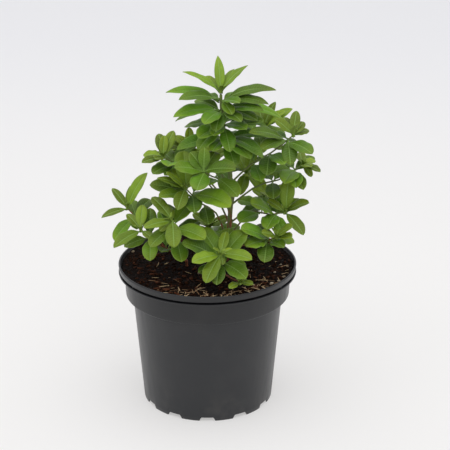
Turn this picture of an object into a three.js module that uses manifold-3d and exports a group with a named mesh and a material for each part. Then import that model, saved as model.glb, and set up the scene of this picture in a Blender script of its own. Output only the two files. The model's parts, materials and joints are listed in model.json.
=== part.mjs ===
// A young bushy euphorbia in a black moulded nursery pot.
// Millimetres, +Z up. The origin is under the middle of the object's bounding box, on the
// surface that the pot stands on.
//
// The pot is one moulding, the potting soil fills it, and three woody stems are planted in the
// soil. Every whorl of leaves is one piece: its leaves grow out of a ring of leaf bases around
// the stem, or out of the bud on the stem's end.
import * as THREE from 'three';
import { mergeVertices } from 'three/addons/utils/BufferGeometryUtils.js';
import Module from 'manifold-3d';

const wasm = await Module();
wasm.setup();

// ---------------------------------------------------------------- driving dimensions

// Pot
const POT_HEIGHT = 139.3;
const RIM_RADIUS = 85;
const LIP_OVERHANG = 5.4;
const COLLAR_TAPER = 1.1;
const LEDGE_WIDTH = 6.7;
const BODY_TAPER = 9;
const WALL = 1.2;
const LIP_HEIGHT = 6;
const LIP_TOP_WIDTH = 1.8;
const LIP_FLARE_DEPTH = 3.2;
const GROOVE_HEIGHT = 1.7;
const FLANGE_THICKNESS = 1.4;
const COLLAR_HEIGHT = 21.8;
const LIP_EDGE = 0.8;
const LIP_DRAFT = 0.7;
const GROOVE_WALL = 0.4;
const COLLAR_EDGE = 1.4;
const LEDGE_SLOPE = 0.6;
const LEDGE_SLOPE_INSIDE = 0.8;
const FOOT_HEIGHT = 4;
const FOOT_COUNT = 12;
const NOTCH_BOTTOM_WIDTH = 15;
const NOTCH_TOP_WIDTH = 11.5;
const NOTCH_REACH = 10;
const FLOOR_THICKNESS = 1.8;
const DRAIN_COUNT = 6;
const DRAIN_RADIUS = 4.5;
const DRAIN_CIRCLE_RADIUS = 44;
const DRAIN_SIDES = 12;
const RIB_WIDTH = 1.6;
const RIB_SETBACK = 1.1;
const RIB_BITE = 0.4;
const RIB_HEADINGS = [-145, -35, 35, 145];
const POT_SIDES = 48;
const CUT_MARGIN = 1;

// Soil
const SOIL_BELOW_RIM = 2.8;
const SOIL_MOUND = 0.8;
const SOIL_CLEARANCE = 0.3;
const SOIL_SHRINKAGE = 0.4;
const SOIL_MOUND_SHARE = 0.6;

// Stems
const PLANT_HEIGHT = 168;
const PLANT_SPREAD = 88;
const PLANTED_DEPTH = 18;
const TRUNK_FOOT_RADIUS = 3;
const TRUNK_TOP_RADIUS = 1.5;
const SIDE_STEM_FOOT_RADIUS = 1.7;
const BRANCH_FOOT_RADIUS = 1.05;
const BRANCH_TOP_RADIUS = 0.75;
const STEM_SIDES = 6;
const STEM_STEP = 12;
const STEM_CLEARANCE = 0.35;

// Leaves
const LEAF_SCALE = 1;
const LEAF_BREADTH = 1.22;
const LEAF_KEEL = 0.7;
const LEAF_FOLD = 0.14;
// A leaf of this length bends down by this many degrees from its base to its tip.
const ARCHED_LENGTH = 40;
const LEAF_ARCH = 34;
const PETIOLE_HALF_WIDTH = 0.6;
const PETIOLE_KEEL = 0.5;
const LEAF_GAP = 0.6;
const RING_WALL = 1.1;
const RING_HEIGHT = 4;
const RING_SIDES = 6;
const BUD_HEIGHT = 5;
const BUD_SIDES = 5;
// The bud's outline: share of its height, and how far it stands out past its stem.
const BUD_OUTLINE = [[0, 0.5], [0.35, 0.9], [0.7, 0.4]];
// Leaves turn their upper faces this share of the way from level towards the light.
const LIGHT = new THREE.Vector3(0, -0.75, 0.66);
const LIGHT_PULL = 0.55;
const MIN_LEAF_RISE = -80;
const MAX_LEAF_RISE = 88;

// Worked out from the above
const COLLAR_TOP_RADIUS = RIM_RADIUS - LIP_OVERHANG;
const COLLAR_BOTTOM_RADIUS = COLLAR_TOP_RADIUS - COLLAR_TAPER;
const BODY_TOP_RADIUS = COLLAR_BOTTOM_RADIUS - LEDGE_WIDTH;
const BODY_BASE_RADIUS = BODY_TOP_RADIUS - BODY_TAPER;
const SOIL_TOP = POT_HEIGHT - SOIL_BELOW_RIM;
const FLOOR_TOP = FOOT_HEIGHT + FLOOR_THICKNESS;
const LIP_BOTTOM = POT_HEIGHT - LIP_HEIGHT;
const FLANGE_TOP = LIP_BOTTOM - GROOVE_HEIGHT;
const FLANGE_BOTTOM = FLANGE_TOP - FLANGE_THICKNESS;
const COLLAR_BOTTOM = FLANGE_BOTTOM - COLLAR_HEIGHT;

// The stems' points and the leaves' places below are given for a plant of this height and spread.
const DRAWN_HEIGHT = 168;
const DRAWN_SPREAD = 88;

// ---------------------------------------------------------------- colours

const POT_BLACK = 0x3a3b3e;
const SOIL_BROWN = 0x2a1a14;
const BARK_BROWN = 0x6a3a28;
const MATURE_GREEN = 0x4c7a2c;
const YOUNG_GREEN = 0x8ab03a;

// ---------------------------------------------------------------- solids and meshes

function solidOf(geometry) {
  const bare = geometry.clone();
  bare.deleteAttribute('normal');
  bare.deleteAttribute('uv');
  const merged = mergeVertices(bare, 1e-4);
  return new wasm.Manifold(new wasm.Mesh({
    numProp: 3,
    vertProperties: new Float32Array(merged.attributes.position.array),
    triVerts: new Uint32Array(merged.index.array),
  }));
}

function geometryOf(solid) {
  const mesh = solid.getMesh();
  const geometry = new THREE.BufferGeometry();
  geometry.setAttribute('position', new THREE.BufferAttribute(mesh.vertProperties, 3));
  geometry.setIndex(new THREE.BufferAttribute(mesh.triVerts, 1));
  geometry.computeVertexNormals();
  return geometry;
}

function unionOf(solids) {
  return solids.reduce((whole, solid) => whole.add(solid));
}

// A closed skin over rings of points, each ring running anticlockwise about the way of travel.
// With an apex the last ring closes on that point, otherwise it is capped flat.
function loft(rings, apex = null) {
  const count = rings[0].length;
  const points = rings.flat();
  const faces = [];
  for (let side = 1; side < count - 1; side += 1) {
    faces.push(0, side + 1, side);
  }
  for (let ring = 0; ring < rings.length - 1; ring += 1) {
    for (let side = 0; side < count; side += 1) {
      const here = ring * count + side;
      const next = ring * count + (side + 1) % count;
      faces.push(here, next, next + count);
      faces.push(here, next + count, here + count);
    }
  }
  const last = (rings.length - 1) * count;
  if (apex) {
    points.push(apex);
    for (let side = 0; side < count; side += 1) {
      faces.push(last + side, last + (side + 1) % count, points.length - 1);
    }
  } else {
    for (let side = 1; side < count - 1; side += 1) {
      faces.push(last, last + side, last + side + 1);
    }
  }
  const geometry = new THREE.BufferGeometry().setFromPoints(points);
  geometry.setIndex(faces);
  return geometry;
}

function ringOfPoints(centre, across, along, radius, sides) {
  const points = [];
  for (let side = 0; side < sides; side += 1) {
    const angle = (2 * Math.PI * side) / sides;
    const point = centre.clone();
    point.addScaledVector(across, radius * Math.cos(angle));
    point.addScaledVector(along, radius * Math.sin(angle));
    points.push(point);
  }
  return points;
}

// A solid turned about Z from [radius, height] pairs that start and end on the axis.
function turned(profile, sides) {
  const points = profile.map(([radius, height]) => new THREE.Vector2(radius, height));
  return new THREE.LatheGeometry(points, sides).rotateX(Math.PI / 2);
}

// ---------------------------------------------------------------- pot

function bodyRadiusAt(height) {
  return BODY_BASE_RADIUS + (BODY_TOP_RADIUS - BODY_BASE_RADIUS) * (height / COLLAR_BOTTOM);
}

function potInnerProfile() {
  return [
    [RIM_RADIUS - LIP_TOP_WIDTH, POT_HEIGHT],
    [RIM_RADIUS - LIP_TOP_WIDTH - LIP_EDGE, POT_HEIGHT - LIP_FLARE_DEPTH],
    [COLLAR_TOP_RADIUS - WALL + GROOVE_WALL, LIP_BOTTOM],
    [COLLAR_TOP_RADIUS - WALL, FLANGE_BOTTOM],
    [COLLAR_BOTTOM_RADIUS - WALL, COLLAR_BOTTOM + WALL + LEDGE_SLOPE_INSIDE],
    [BODY_TOP_RADIUS - WALL, COLLAR_BOTTOM + WALL],
    [bodyRadiusAt(FLOOR_TOP) - WALL, FLOOR_TOP],
    [0, FLOOR_TOP],
  ];
}

function potShell() {
  return turned([
    [0, FOOT_HEIGHT],
    [bodyRadiusAt(FOOT_HEIGHT) - WALL, FOOT_HEIGHT],
    [BODY_BASE_RADIUS - WALL, 0],
    [BODY_BASE_RADIUS, 0],
    [BODY_TOP_RADIUS, COLLAR_BOTTOM - LEDGE_SLOPE],
    [COLLAR_BOTTOM_RADIUS - COLLAR_EDGE, COLLAR_BOTTOM],
    [COLLAR_BOTTOM_RADIUS, COLLAR_BOTTOM + COLLAR_EDGE],
    [COLLAR_TOP_RADIUS, FLANGE_BOTTOM],
    [RIM_RADIUS, FLANGE_BOTTOM],
    [RIM_RADIUS, FLANGE_TOP],
    [COLLAR_TOP_RADIUS + GROOVE_WALL, FLANGE_TOP],
    [COLLAR_TOP_RADIUS + GROOVE_WALL, LIP_BOTTOM],
    [RIM_RADIUS - LIP_DRAFT, LIP_BOTTOM],
    [RIM_RADIUS, POT_HEIGHT - LIP_EDGE],
    [RIM_RADIUS - LIP_EDGE, POT_HEIGHT],
    ...potInnerProfile(),
  ], POT_SIDES);
}

// The gap between two feet, wider at the ground than under the floor.
function footNotch(heading) {
  const outline = new THREE.Shape();
  outline.moveTo(-NOTCH_BOTTOM_WIDTH / 2, -CUT_MARGIN);
  outline.lineTo(NOTCH_BOTTOM_WIDTH / 2, -CUT_MARGIN);
  outline.lineTo(NOTCH_TOP_WIDTH / 2, FOOT_HEIGHT);
  outline.lineTo(-NOTCH_TOP_WIDTH / 2, FOOT_HEIGHT);
  outline.closePath();
  const geometry = new THREE.ExtrudeGeometry(outline, { depth: NOTCH_REACH, bevelEnabled: false });
  geometry.rotateX(Math.PI / 2);
  geometry.translate(0, NOTCH_REACH - BODY_BASE_RADIUS - 2 * CUT_MARGIN, 0);
  geometry.rotateZ(heading);
  return geometry;
}

function drainHole(heading) {
  const depth = FLOOR_THICKNESS + 2 * CUT_MARGIN;
  const geometry = new THREE.CylinderGeometry(DRAIN_RADIUS, DRAIN_RADIUS, depth, DRAIN_SIDES);
  geometry.rotateX(Math.PI / 2);
  geometry.translate(DRAIN_CIRCLE_RADIUS, 0, FOOT_HEIGHT + FLOOR_THICKNESS / 2);
  geometry.rotateZ(heading);
  return geometry;
}

// A small web across the groove, from the flange to the lip.
function grooveRib(heading) {
  const inner = COLLAR_TOP_RADIUS;
  const outer = RIM_RADIUS - RIB_SETBACK;
  const height = GROOVE_HEIGHT + 2 * RIB_BITE;
  const geometry = new THREE.BoxGeometry(outer - inner, RIB_WIDTH, height);
  geometry.translate((inner + outer) / 2, 0, FLANGE_TOP + GROOVE_HEIGHT / 2);
  geometry.rotateZ(THREE.MathUtils.degToRad(heading));
  return geometry;
}

function makePot() {
  let pot = solidOf(potShell());
  for (let index = 0; index < FOOT_COUNT; index += 1) {
    pot = pot.subtract(solidOf(footNotch((2 * Math.PI * index) / FOOT_COUNT)));
  }
  for (let index = 0; index < DRAIN_COUNT; index += 1) {
    pot = pot.subtract(solidOf(drainHole((2 * Math.PI * index) / DRAIN_COUNT)));
  }
  for (const heading of RIB_HEADINGS) {
    pot = pot.add(solidOf(grooveRib(heading)));
  }
  return pot;
}

// ---------------------------------------------------------------- leaves, as they grow

// A leaf is [heading, rise, length, width]. Heading is anticlockwise from +X seen from above, and
// rise is above level, both in degrees and both for the straight line from leaf base to leaf tip.

// Leaves that follow each other up a shoot at the golden angle.
function spiral(count, firstHeading, rise, length, width) {
  const leaves = [];
  for (let index = 0; index < count; index += 1) {
    leaves.push([firstHeading + 137.5 * index, rise - 6 * (index % 3), length, width]);
  }
  return leaves;
}

// Each shoot has the points of its stem, in millimetres from the middle of the pot at soil level,
// and its whorls, each at a share of the stem's length. The first point of a branch is the share
// of its parent's length where it leaves it. Shoots of one plant share one solid of stem.
const SHOOTS = [
  {
    name: 'leader',
    stem: 'main_stem',
    points: [
      [18, 8, 6], [20, 8, 23], [21.5, 8, 46], [23, 8, 71], [21, 7, 92],
      [18, 5, 107], [16, 2, 133], [13, 0, 160], [13, 0, 168],
    ],
    whorls: [
      { at: 1, age: 'young', leaves: [
        [97, 52, 37, 9], [197, 32, 42, 9], [46, 26, 40, 8], [64, 29, 32, 8], [129, 25, 24, 8],
        [307, 39, 16, 6]] },
      { at: 0.97, age: 'mature', leaves: [
        [195, 14, 52, 10], [346, 15, 52, 11], [213, 3, 44, 11], [335, 4, 46, 11],
        [307, 9, 26, 10], [129, -8, 24, 9], [51, -6, 34, 10], [296, -20, 22, 9]] },
      { at: 0.92, age: 'mature', leaves: [
        [244, -4, 34, 13], [206, 0, 47, 12], [327, 7, 44, 12], [21, -16, 66, 12],
        [163, -19, 46, 9], [304, -8, 30, 11], [135, 4, 34, 10], [259, -20, 28, 12],
        [316, 3, 36, 12]] },
      { at: 0.84, age: 'mature', leaves: [
        [228, -6, 32, 14], [334, 13, 40, 12], [308, 0, 32, 12], [149, -11, 42, 11],
        [31, -13, 50, 11], [250, -19, 24, 11], [282, -33, 30, 12], [231, -30, 34, 13],
        [59, -2, 30, 10]] },
      { at: 0.765, age: 'mature', leaves: [
        [301, -7, 44, 14], [216, 6, 46, 12], [309, -6, 54, 12], [27, -6, 48, 11],
        [139, -22, 34, 10], [247, -9, 26, 11], [288, -32, 32, 12], [51, -18, 30, 11]] },
    ],
  },
  {
    name: 'upper_right',
    stem: 'main_stem',
    parent: 'leader',
    leaves_at: 0.52,
    points: [[42, 3, 100], [62, -2, 114], [78, -5, 129]],
    whorls: [
      { at: 1, age: 'young', leaves: [
        [119, 38, 21, 9], [78, 41, 25, 8], [53, 28, 18, 8], [40, 5, 20, 9], [145, 24, 22, 9],
        [98, 27, 20, 7], [289, 63, 14, 7]] },
      { at: 0.93, age: 'mature', leaves: [
        [311, -5, 34, 13], [225, -3, 34, 13], [274, -30, 28, 12], [213, 20, 44, 12],
        [46, -30, 26, 11], [125, -11, 30, 11]] },
      { at: 0.66, age: 'mature', leaves: [[263, -27, 27, 14], [294, 5, 30, 12]] },
      { at: 0.42, age: 'mature', leaves: [[284, -18, 28, 12], [122, 11, 26, 11], [49, -10, 26, 11]] },
    ],
  },
  {
    name: 'right',
    stem: 'main_stem',
    parent: 'leader',
    leaves_at: 0.4,
    points: [[48, 12, 75], [72, 16, 81], [88, 15, 94]],
    whorls: [
      { at: 1, age: 'young', leaves: [
        [309, 0, 26, 8], [45, -1, 18, 7], [307, -36, 16, 6], [294, 12, 20, 8], [95, 20, 18, 8]] },
      { at: 0.9, age: 'mature', leaves: [
        [286, -15, 30, 10], [271, -18, 30, 12], [250, -5, 32, 15], [13, 42, 28, 10],
        [218, 2, 30, 13], [122, 4, 24, 11]] },
      { at: 0.6, age: 'mature', leaves: [[271, -14, 28, 12], [112, 2, 26, 11], [44, 31, 24, 10]] },
    ],
  },
  {
    name: 'lower_right',
    stem: 'main_stem',
    parent: 'leader',
    leaves_at: 0.3,
    points: [[40, 3, 53], [58, -5, 52], [71, -10, 56]],
    whorls: [
      { at: 1, age: 'young', leaves: [
        [337, 29, 28, 11], [305, -25, 32, 10], [76, 70, 32, 12], [153, 27, 20, 8],
        [328, 53, 12, 6]] },
      { at: 0.88, age: 'mature', leaves: [
        [216, 31, 33, 16], [16, 25, 27, 12], [249, -11, 28, 14], [53, 27, 26, 12],
        [286, -31, 22, 11]] },
      { at: 0.62, age: 'mature', leaves: [[227, -3, 28, 15], [87, 17, 26, 11]] },
    ],
  },
  {
    name: 'bottom_right',
    stem: 'main_stem',
    parent: 'leader',
    leaves_at: 0.14,
    points: [[34, -6, 21], [50, -20, 29], [63, -30, 39]],
    whorls: [
      { at: 1, age: 'young', leaves: [
        [321, 39, 24, 11], [319, 16, 19, 8], [210, 29, 18, 9], [72, 22, 20, 9]] },
      { at: 0.88, age: 'mature', leaves: [
        [263, -20, 29, 13], [226, 5, 30, 15], [309, 1, 20, 11], [28, -11, 28, 12],
        [116, 3, 30, 13], [208, 29, 34, 14]] },
    ],
  },
  {
    name: 'front',
    stem: 'front_stem',
    points: [[14, -36, 6], [14, -42, 13], [13, -53, 23], [13, -60, 33]],
    whorls: [
      { at: 1, age: 'young', leaves: [
        [214, 0, 31, 11], [236, -39, 31, 12], [331, 2, 32, 11], [77, 34, 26, 8],
        [222, 46, 12, 5], [44, 14, 12, 5], [278, -38, 10, 5]] },
      { at: 0.86, age: 'mature', leaves: [
        [130, 40, 37, 15], [31, 39, 36, 16], [189, 30, 40, 15], [316, -13, 31, 14],
        [75, 45, 36, 12], [268, -31, 26, 11]] },
      { at: 0.55, age: 'mature', leaves: [[95, 12, 26, 11], [30, -4, 24, 10], [205, 2, 22, 10]] },
    ],
  },
  {
    name: 'ground',
    stem: 'front_stem',
    parent: 'front',
    leaves_at: 0.42,
    points: [[20, -52, 9], [29, -66, 10]],
    whorls: [
      { at: 1, age: 'young', leaves: [
        [225, -8, 13, 6], [335, 2, 13, 6], [90, 12, 12, 6], [280, 12, 9, 5]] },
    ],
  },
  {
    name: 'left',
    stem: 'left_stem',
    points: [[-20, -6, 6], [-26, -9, 13], [-44, -17, 25], [-60, -25, 43]],
    whorls: [
      { at: 1, age: 'young', leaves: [
        [222, -14, 34, 10], [135, 29, 22, 8], [87, 35, 28, 9], [314, -13, 16, 7]] },
      { at: 0.88, age: 'mature', leaves: [
        [272, -20, 30, 12], [309, 20, 28, 13], [206, -11, 24, 11], [89, 57, 28, 11]] },
      { at: 0.6, age: 'mature', leaves: [[259, 20, 28, 13], [329, 39, 28, 13], [75, 44, 24, 11]] },
    ],
  },
  {
    name: 'far_left',
    stem: 'left_stem',
    parent: 'left',
    leaves_at: 0.6,
    points: [[-56, -8, 39], [-66, -2, 47], [-74, 0, 55]],
    whorls: [
      { at: 1, age: 'young', leaves: [
        [216, -5, 29, 9], [147, 44, 24, 9], [75, 52, 21, 5], [28, 51, 39, 13]] },
      { at: 0.84, age: 'mature', leaves: [
        [206, -42, 29, 11], [61, 15, 28, 11], [301, 3, 22, 10], [99, 22, 28, 10]] },
    ],
  },
  {
    name: 'mid_left',
    stem: 'left_stem',
    parent: 'left',
    leaves_at: 0.24,
    points: [[-27, -22, 29], [-30, -36, 45], [-31, -45, 60]],
    whorls: [
      { at: 1, age: 'young', leaves: [
        [213, 0, 30, 9], [141, 35, 30, 10], [275, -34, 30, 12], [104, 18, 20, 7],
        [199, -36, 15, 7]] },
      { at: 0.9, age: 'mature', leaves: [
        [327, -6, 34, 15], [227, -8, 30, 12], [60, 22, 32, 13], [108, 37, 30, 13]] },
      { at: 0.66, age: 'mature', leaves: [[281, -19, 32, 13], [39, 18, 28, 13], [147, 18, 30, 11]] },
    ],
  },
  {
    name: 'upper_middle_left',
    stem: 'main_stem',
    parent: 'leader',
    leaves_at: 0.2,
    points: [[8, -2, 53], [-6, -14, 67], [-18, -25, 84]],
    whorls: [
      { at: 1, age: 'young', leaves: [
        [198, 44, 26, 9], [203, 26, 30, 8], [255, -25, 28, 11], [96, 44, 40, 16],
        [348, 44, 16, 7], [131, 40, 26, 9]] },
      { at: 0.9, age: 'mature', leaves: [
        [178, 15, 40, 14], [320, -1, 46, 17], [212, 9, 34, 12], [58, 40, 30, 14],
        [275, -11, 30, 13]] },
      { at: 0.68, age: 'mature', leaves: [[280, -22, 26, 12], [95, 4, 28, 12], [195, -14, 24, 11]] },
    ],
  },
  {
    name: 'upper_left',
    stem: 'main_stem',
    parent: 'leader',
    leaves_at: 0.36,
    points: [[4, 5, 80], [-18, 0, 94], [-38, -5, 108]],
    whorls: [
      { at: 1, age: 'young', leaves: [
        [110, 46, 25, 9], [58, 45, 27, 9], [150, -4, 22, 8], [219, 2, 26, 8], [234, 5, 16, 8],
        [84, 44, 20, 7]] },
      { at: 0.9, age: 'mature', leaves: [
        [227, -4, 28, 12], [276, 2, 30, 15], [36, 24, 28, 12], [119, 9, 28, 12]] },
      { at: 0.68, age: 'mature', leaves: [[265, -10, 28, 13], [60, 12, 26, 12], [150, -6, 26, 11]] },
    ],
  },
  {
    name: 'inner_left',
    stem: 'main_stem',
    parent: 'leader',
    leaves_at: 0.48,
    points: [[8, 9, 95], [-4, 12, 103], [-15, 12, 111]],
    whorls: [
      { at: 1, age: 'young', leaves: [
        [95, 68, 20, 7], [165, 40, 18, 8], [20, 45, 20, 8], [220, 8, 22, 10], [300, -10, 24, 11],
        [120, 8, 24, 10]] },
    ],
  },
  {
    name: 'inner_front',
    stem: 'main_stem',
    parent: 'leader',
    leaves_at: 0.42,
    points: [[14, -6, 87], [6, -18, 94], [-1, -28, 102]],
    whorls: [
      { at: 1, age: 'mature', leaves: [
        [61, 33, 24, 15], [157, 51, 22, 13], [330, 13, 34, 15], [255, -17, 28, 15],
        [209, 16, 30, 14], [84, 72, 22, 9]] },
      { at: 0.72, age: 'mature', leaves: [[314, -22, 30, 15], [250, 6, 28, 14], [24, 34, 28, 12]] },
    ],
  },
  {
    name: 'inner_right',
    stem: 'main_stem',
    parent: 'leader',
    leaves_at: 0.34,
    points: [[29, 15, 77], [36, 25, 82]],
    whorls: [
      { at: 1, age: 'young', leaves: [
        [258, -31, 30, 10], [53, -6, 26, 11], [117, 33, 26, 9], [343, -36, 26, 12],
        [222, 33, 28, 9], [62, 49, 24, 10], [281, 7, 16, 9]] },
    ],
  },
  {
    name: 'rear_upper_right',
    stem: 'main_stem',
    parent: 'leader',
    leaves_at: 0.56,
    points: [[34, 22, 113], [52, 38, 123]],
    whorls: [
      { at: 1, age: 'young', leaves: [
        [30, 61, 28, 8], [8, 33, 33, 9], [113, 45, 26, 9], [12, 40, 27, 9], [81, 41, 22, 9]] },
      { at: 0.84, age: 'mature', leaves: [
        [4, 20, 35, 12], [99, 33, 32, 11], [282, 22, 30, 11], [338, 14, 30, 12], [112, 1, 32, 11]] },
    ],
  },
  {
    name: 'rear_left',
    stem: 'main_stem',
    parent: 'leader',
    leaves_at: 0.3,
    points: [[2, 24, 72], [-16, 36, 83], [-30, 42, 92]],
    whorls: [
      { at: 1, age: 'young', leaves: spiral(5, 120, 40, 24, 9) },
      { at: 0.86, age: 'mature', leaves: spiral(5, 40, 4, 30, 12) },
    ],
  },
  {
    name: 'rear_middle',
    stem: 'main_stem',
    parent: 'leader',
    leaves_at: 0.33,
    points: [[14, 28, 75], [4, 46, 87]],
    whorls: [
      { at: 1, age: 'young', leaves: spiral(5, 80, 40, 22, 9) },
      { at: 0.8, age: 'mature', leaves: spiral(4, 20, 2, 28, 12) },
    ],
  },
  {
    name: 'rear_right',
    stem: 'main_stem',
    parent: 'leader',
    leaves_at: 0.22,
    points: [[38, 22, 41], [60, 36, 49]],
    whorls: [
      { at: 1, age: 'young', leaves: spiral(5, 40, 38, 22, 9) },
      { at: 0.82, age: 'mature', leaves: spiral(4, 90, 2, 26, 11) },
    ],
  },
  {
    name: 'rear_low',
    stem: 'main_stem',
    parent: 'leader',
    leaves_at: 0.12,
    points: [[10, 28, 13], [2, 48, 17]],
    whorls: [
      { at: 1, age: 'young', leaves: spiral(5, 100, 34, 22, 9) },
      { at: 0.8, age: 'mature', leaves: spiral(4, 30, 6, 27, 12) },
    ],
  },
];

// ---------------------------------------------------------------- stems

const UP = new THREE.Vector3(0, 0, 1);

function place([x, y, z]) {
  const spread = PLANT_SPREAD / DRAWN_SPREAD;
  return new THREE.Vector3(x * spread, y * spread, SOIL_TOP + z * (PLANT_HEIGHT / DRAWN_HEIGHT));
}

// The stem's centre line as straight steps, with the frame and radius at each step.
function stemLine(shoot, lines) {
  const points = shoot.points.map(place);
  if (shoot.parent) {
    points.unshift(pointOnLine(lines.get(shoot.parent), shoot.leaves_at).centre);
  } else {
    const foot = points[0].clone();
    foot.z = SOIL_TOP - PLANTED_DEPTH;
    points.unshift(foot);
  }
  const curve = new THREE.CatmullRomCurve3(points, false, 'centripetal');
  const steps = Math.max(3, Math.round(curve.getLength() / STEM_STEP));
  const frames = curve.computeFrenetFrames(steps, false);
  const line = [];
  for (let step = 0; step <= steps; step += 1) {
    line.push({
      centre: curve.getPointAt(step / steps),
      tangent: frames.tangents[step],
      normal: frames.normals[step],
      binormal: frames.binormals[step],
      radius: stemRadius(shoot, step / steps),
    });
  }
  return line;
}

function stemRadius(shoot, share) {
  if (shoot.name === 'leader') {
    return THREE.MathUtils.lerp(TRUNK_FOOT_RADIUS, TRUNK_TOP_RADIUS, share);
  }
  const foot = shoot.parent ? BRANCH_FOOT_RADIUS : SIDE_STEM_FOOT_RADIUS;
  return THREE.MathUtils.lerp(foot, BRANCH_TOP_RADIUS, share);
}

// The place at a share of a stem's length, on the straight step between two of its rings.
function pointOnLine(line, share) {
  const position = share * (line.length - 1);
  const index = Math.min(Math.floor(position), line.length - 2);
  const here = line[index];
  const next = line[index + 1];
  const part = position - index;
  return {
    centre: here.centre.clone().lerp(next.centre, part),
    tangent: next.centre.clone().sub(here.centre).normalize(),
    radius: THREE.MathUtils.lerp(here.radius, next.radius, part),
  };
}

// The stem's solid, grown on every side by a clearance when it is used as a cutter.
function stemSolid(line, clearance) {
  const rings = line.map((step, index) => {
    const centre = step.centre.clone();
    if (index === 0) {
      centre.addScaledVector(step.tangent, -clearance);
    }
    if (index === line.length - 1) {
      centre.addScaledVector(step.tangent, clearance);
    }
    const radius = step.radius + clearance;
    return ringOfPoints(centre, step.normal, step.binormal, radius, STEM_SIDES);
  });
  return solidOf(loft(rings));
}

// ---------------------------------------------------------------- soil

function soilProfile() {
  const inner = potInnerProfile();
  const outline = [[0, FLOOR_TOP + SOIL_CLEARANCE]];
  for (const [radius, height] of inner.slice(1, -1).reverse()) {
    if (height + SOIL_CLEARANCE < SOIL_TOP - 1) {
      outline.push([radius - SOIL_CLEARANCE, height + SOIL_CLEARANCE]);
    }
  }
  const [[topRadius, topHeight], [lowRadius, lowHeight]] = inner;
  const share = Math.max(0, (SOIL_TOP - lowHeight) / (topHeight - lowHeight));
  const edge = THREE.MathUtils.lerp(lowRadius, topRadius, share) - SOIL_CLEARANCE - SOIL_SHRINKAGE;
  outline.push([edge, SOIL_TOP]);
  outline.push([edge * SOIL_MOUND_SHARE, SOIL_TOP + SOIL_MOUND]);
  outline.push([0, SOIL_TOP + SOIL_MOUND]);
  return outline;
}

function makeSoil(lines) {
  let soil = solidOf(turned(soilProfile(), POT_SIDES));
  for (const shoot of SHOOTS.filter(({ parent }) => !parent)) {
    soil = soil.subtract(stemSolid(lines.get(shoot.name), SOIL_CLEARANCE));
  }
  return soil;
}

// ---------------------------------------------------------------- leaves

// Rings along a leaf: share of its length, half width as a share of its width, keel depth.
const BLADE_STATIONS = [
  [0.42, 0.48, 1],
  [0.76, 0.36, 0.85],
];
const PETIOLE_END = 0.14;
const LEAF_STEPS = 8;

function leafPoint(base, heading, startRise, arch, length, share) {
  const point = base.clone();
  for (let step = 0; step < LEAF_STEPS; step += 1) {
    const rise = startRise - arch * share * ((step + 0.5) / LEAF_STEPS);
    point.addScaledVector(leafDirection(heading, rise), (length * share) / LEAF_STEPS);
  }
  return point;
}

function leafDirection(heading, rise) {
  return new THREE.Vector3(
    Math.cos(rise) * Math.cos(heading),
    Math.cos(rise) * Math.sin(heading),
    Math.sin(rise),
  );
}

// The blade's left side and upper side where it runs in a direction: between level and facing
// the light.
function leafFrame(heading, rise) {
  const along = leafDirection(heading, rise);
  const level = new THREE.Vector3(-Math.sin(heading), Math.cos(heading), 0);
  const upper = along.clone().cross(level).multiplyScalar(1 - LIGHT_PULL);
  upper.addScaledVector(LIGHT, LIGHT_PULL).addScaledVector(along, -LIGHT_PULL * LIGHT.dot(along));
  upper.normalize();
  return { upper, across: upper.clone().cross(along) };
}

// One leaf, flat on its upper side with a keel along its midrib below. The blade alone, without
// the petiole, is what has to stay clear of the stems and of the whorl's other blades.
function makeLeaf(base, [headingDegrees, riseDegrees, fullLength, fullWidth]) {
  const length = fullLength * LEAF_SCALE;
  const width = fullWidth * LEAF_SCALE * LEAF_BREADTH;
  const heading = THREE.MathUtils.degToRad(headingDegrees);
  const arch = THREE.MathUtils.degToRad(LEAF_ARCH * (fullLength / ARCHED_LENGTH));
  const startRise = THREE.MathUtils.degToRad(riseDegrees) + arch / 2;
  const stations = [
    [0, PETIOLE_HALF_WIDTH, PETIOLE_KEEL],
    [PETIOLE_END, PETIOLE_HALF_WIDTH, PETIOLE_KEEL],
    ...BLADE_STATIONS.map(([share, half, keel]) => [share, half * width, keel * LEAF_KEEL]),
  ];
  const rings = stations.map(([share, halfWidth, keel]) => {
    const centre = leafPoint(base, heading, startRise, arch, length, share);
    const { across, upper } = leafFrame(heading, startRise - arch * share);
    const fold = halfWidth * LEAF_FOLD;
    return [
      centre.clone().addScaledVector(across, halfWidth).addScaledVector(upper, fold),
      centre.clone().addScaledVector(across, -halfWidth).addScaledVector(upper, fold),
      centre.clone().addScaledVector(upper, -keel),
    ];
  });
  const tip = leafPoint(base, heading, startRise, arch, length, 1);
  return { leaf: solidOf(loft(rings, tip)), blade: solidOf(loft(rings.slice(1), tip)) };
}

const LEAF_SHORTENINGS = [1, 0.85, 0.7, 0.55];
const LEAF_TURNS = 8;
const HEADING_TURN = 7;
const RISE_TURN = 6;
const LEAF_WAYS = [[0, 1], [1, 0], [-1, 0], [0, -1], [1, 1], [-1, 1], [1, -1], [-1, -1]];

// The small turns away from its drawn direction that a leaf may make to grow clear of the rest,
// nearest first, in degrees of heading and rise, then the same for a shorter leaf.
function* leafTurns() {
  for (const shortening of LEAF_SHORTENINGS) {
    yield [0, 0, shortening];
    for (let away = 1; away <= LEAF_TURNS; away += 1) {
      for (const [side, up] of LEAF_WAYS) {
        yield [HEADING_TURN * away * side, RISE_TURN * away * up, shortening];
      }
    }
  }
}

function boxesNear(one, other, gap) {
  return [0, 1, 2].every((axis) => (
    one.min[axis] - gap < other.max[axis] && other.min[axis] - gap < one.max[axis]
  ));
}

function isClear(solid, others, gap) {
  const box = solid.boundingBox();
  return others.every((other) => (
    !boxesNear(box, other.box, gap) || solid.minGap(other.solid, gap) >= gap * 0.999
  ));
}

function obstacle(solid) {
  return { solid, box: solid.boundingBox() };
}

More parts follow.
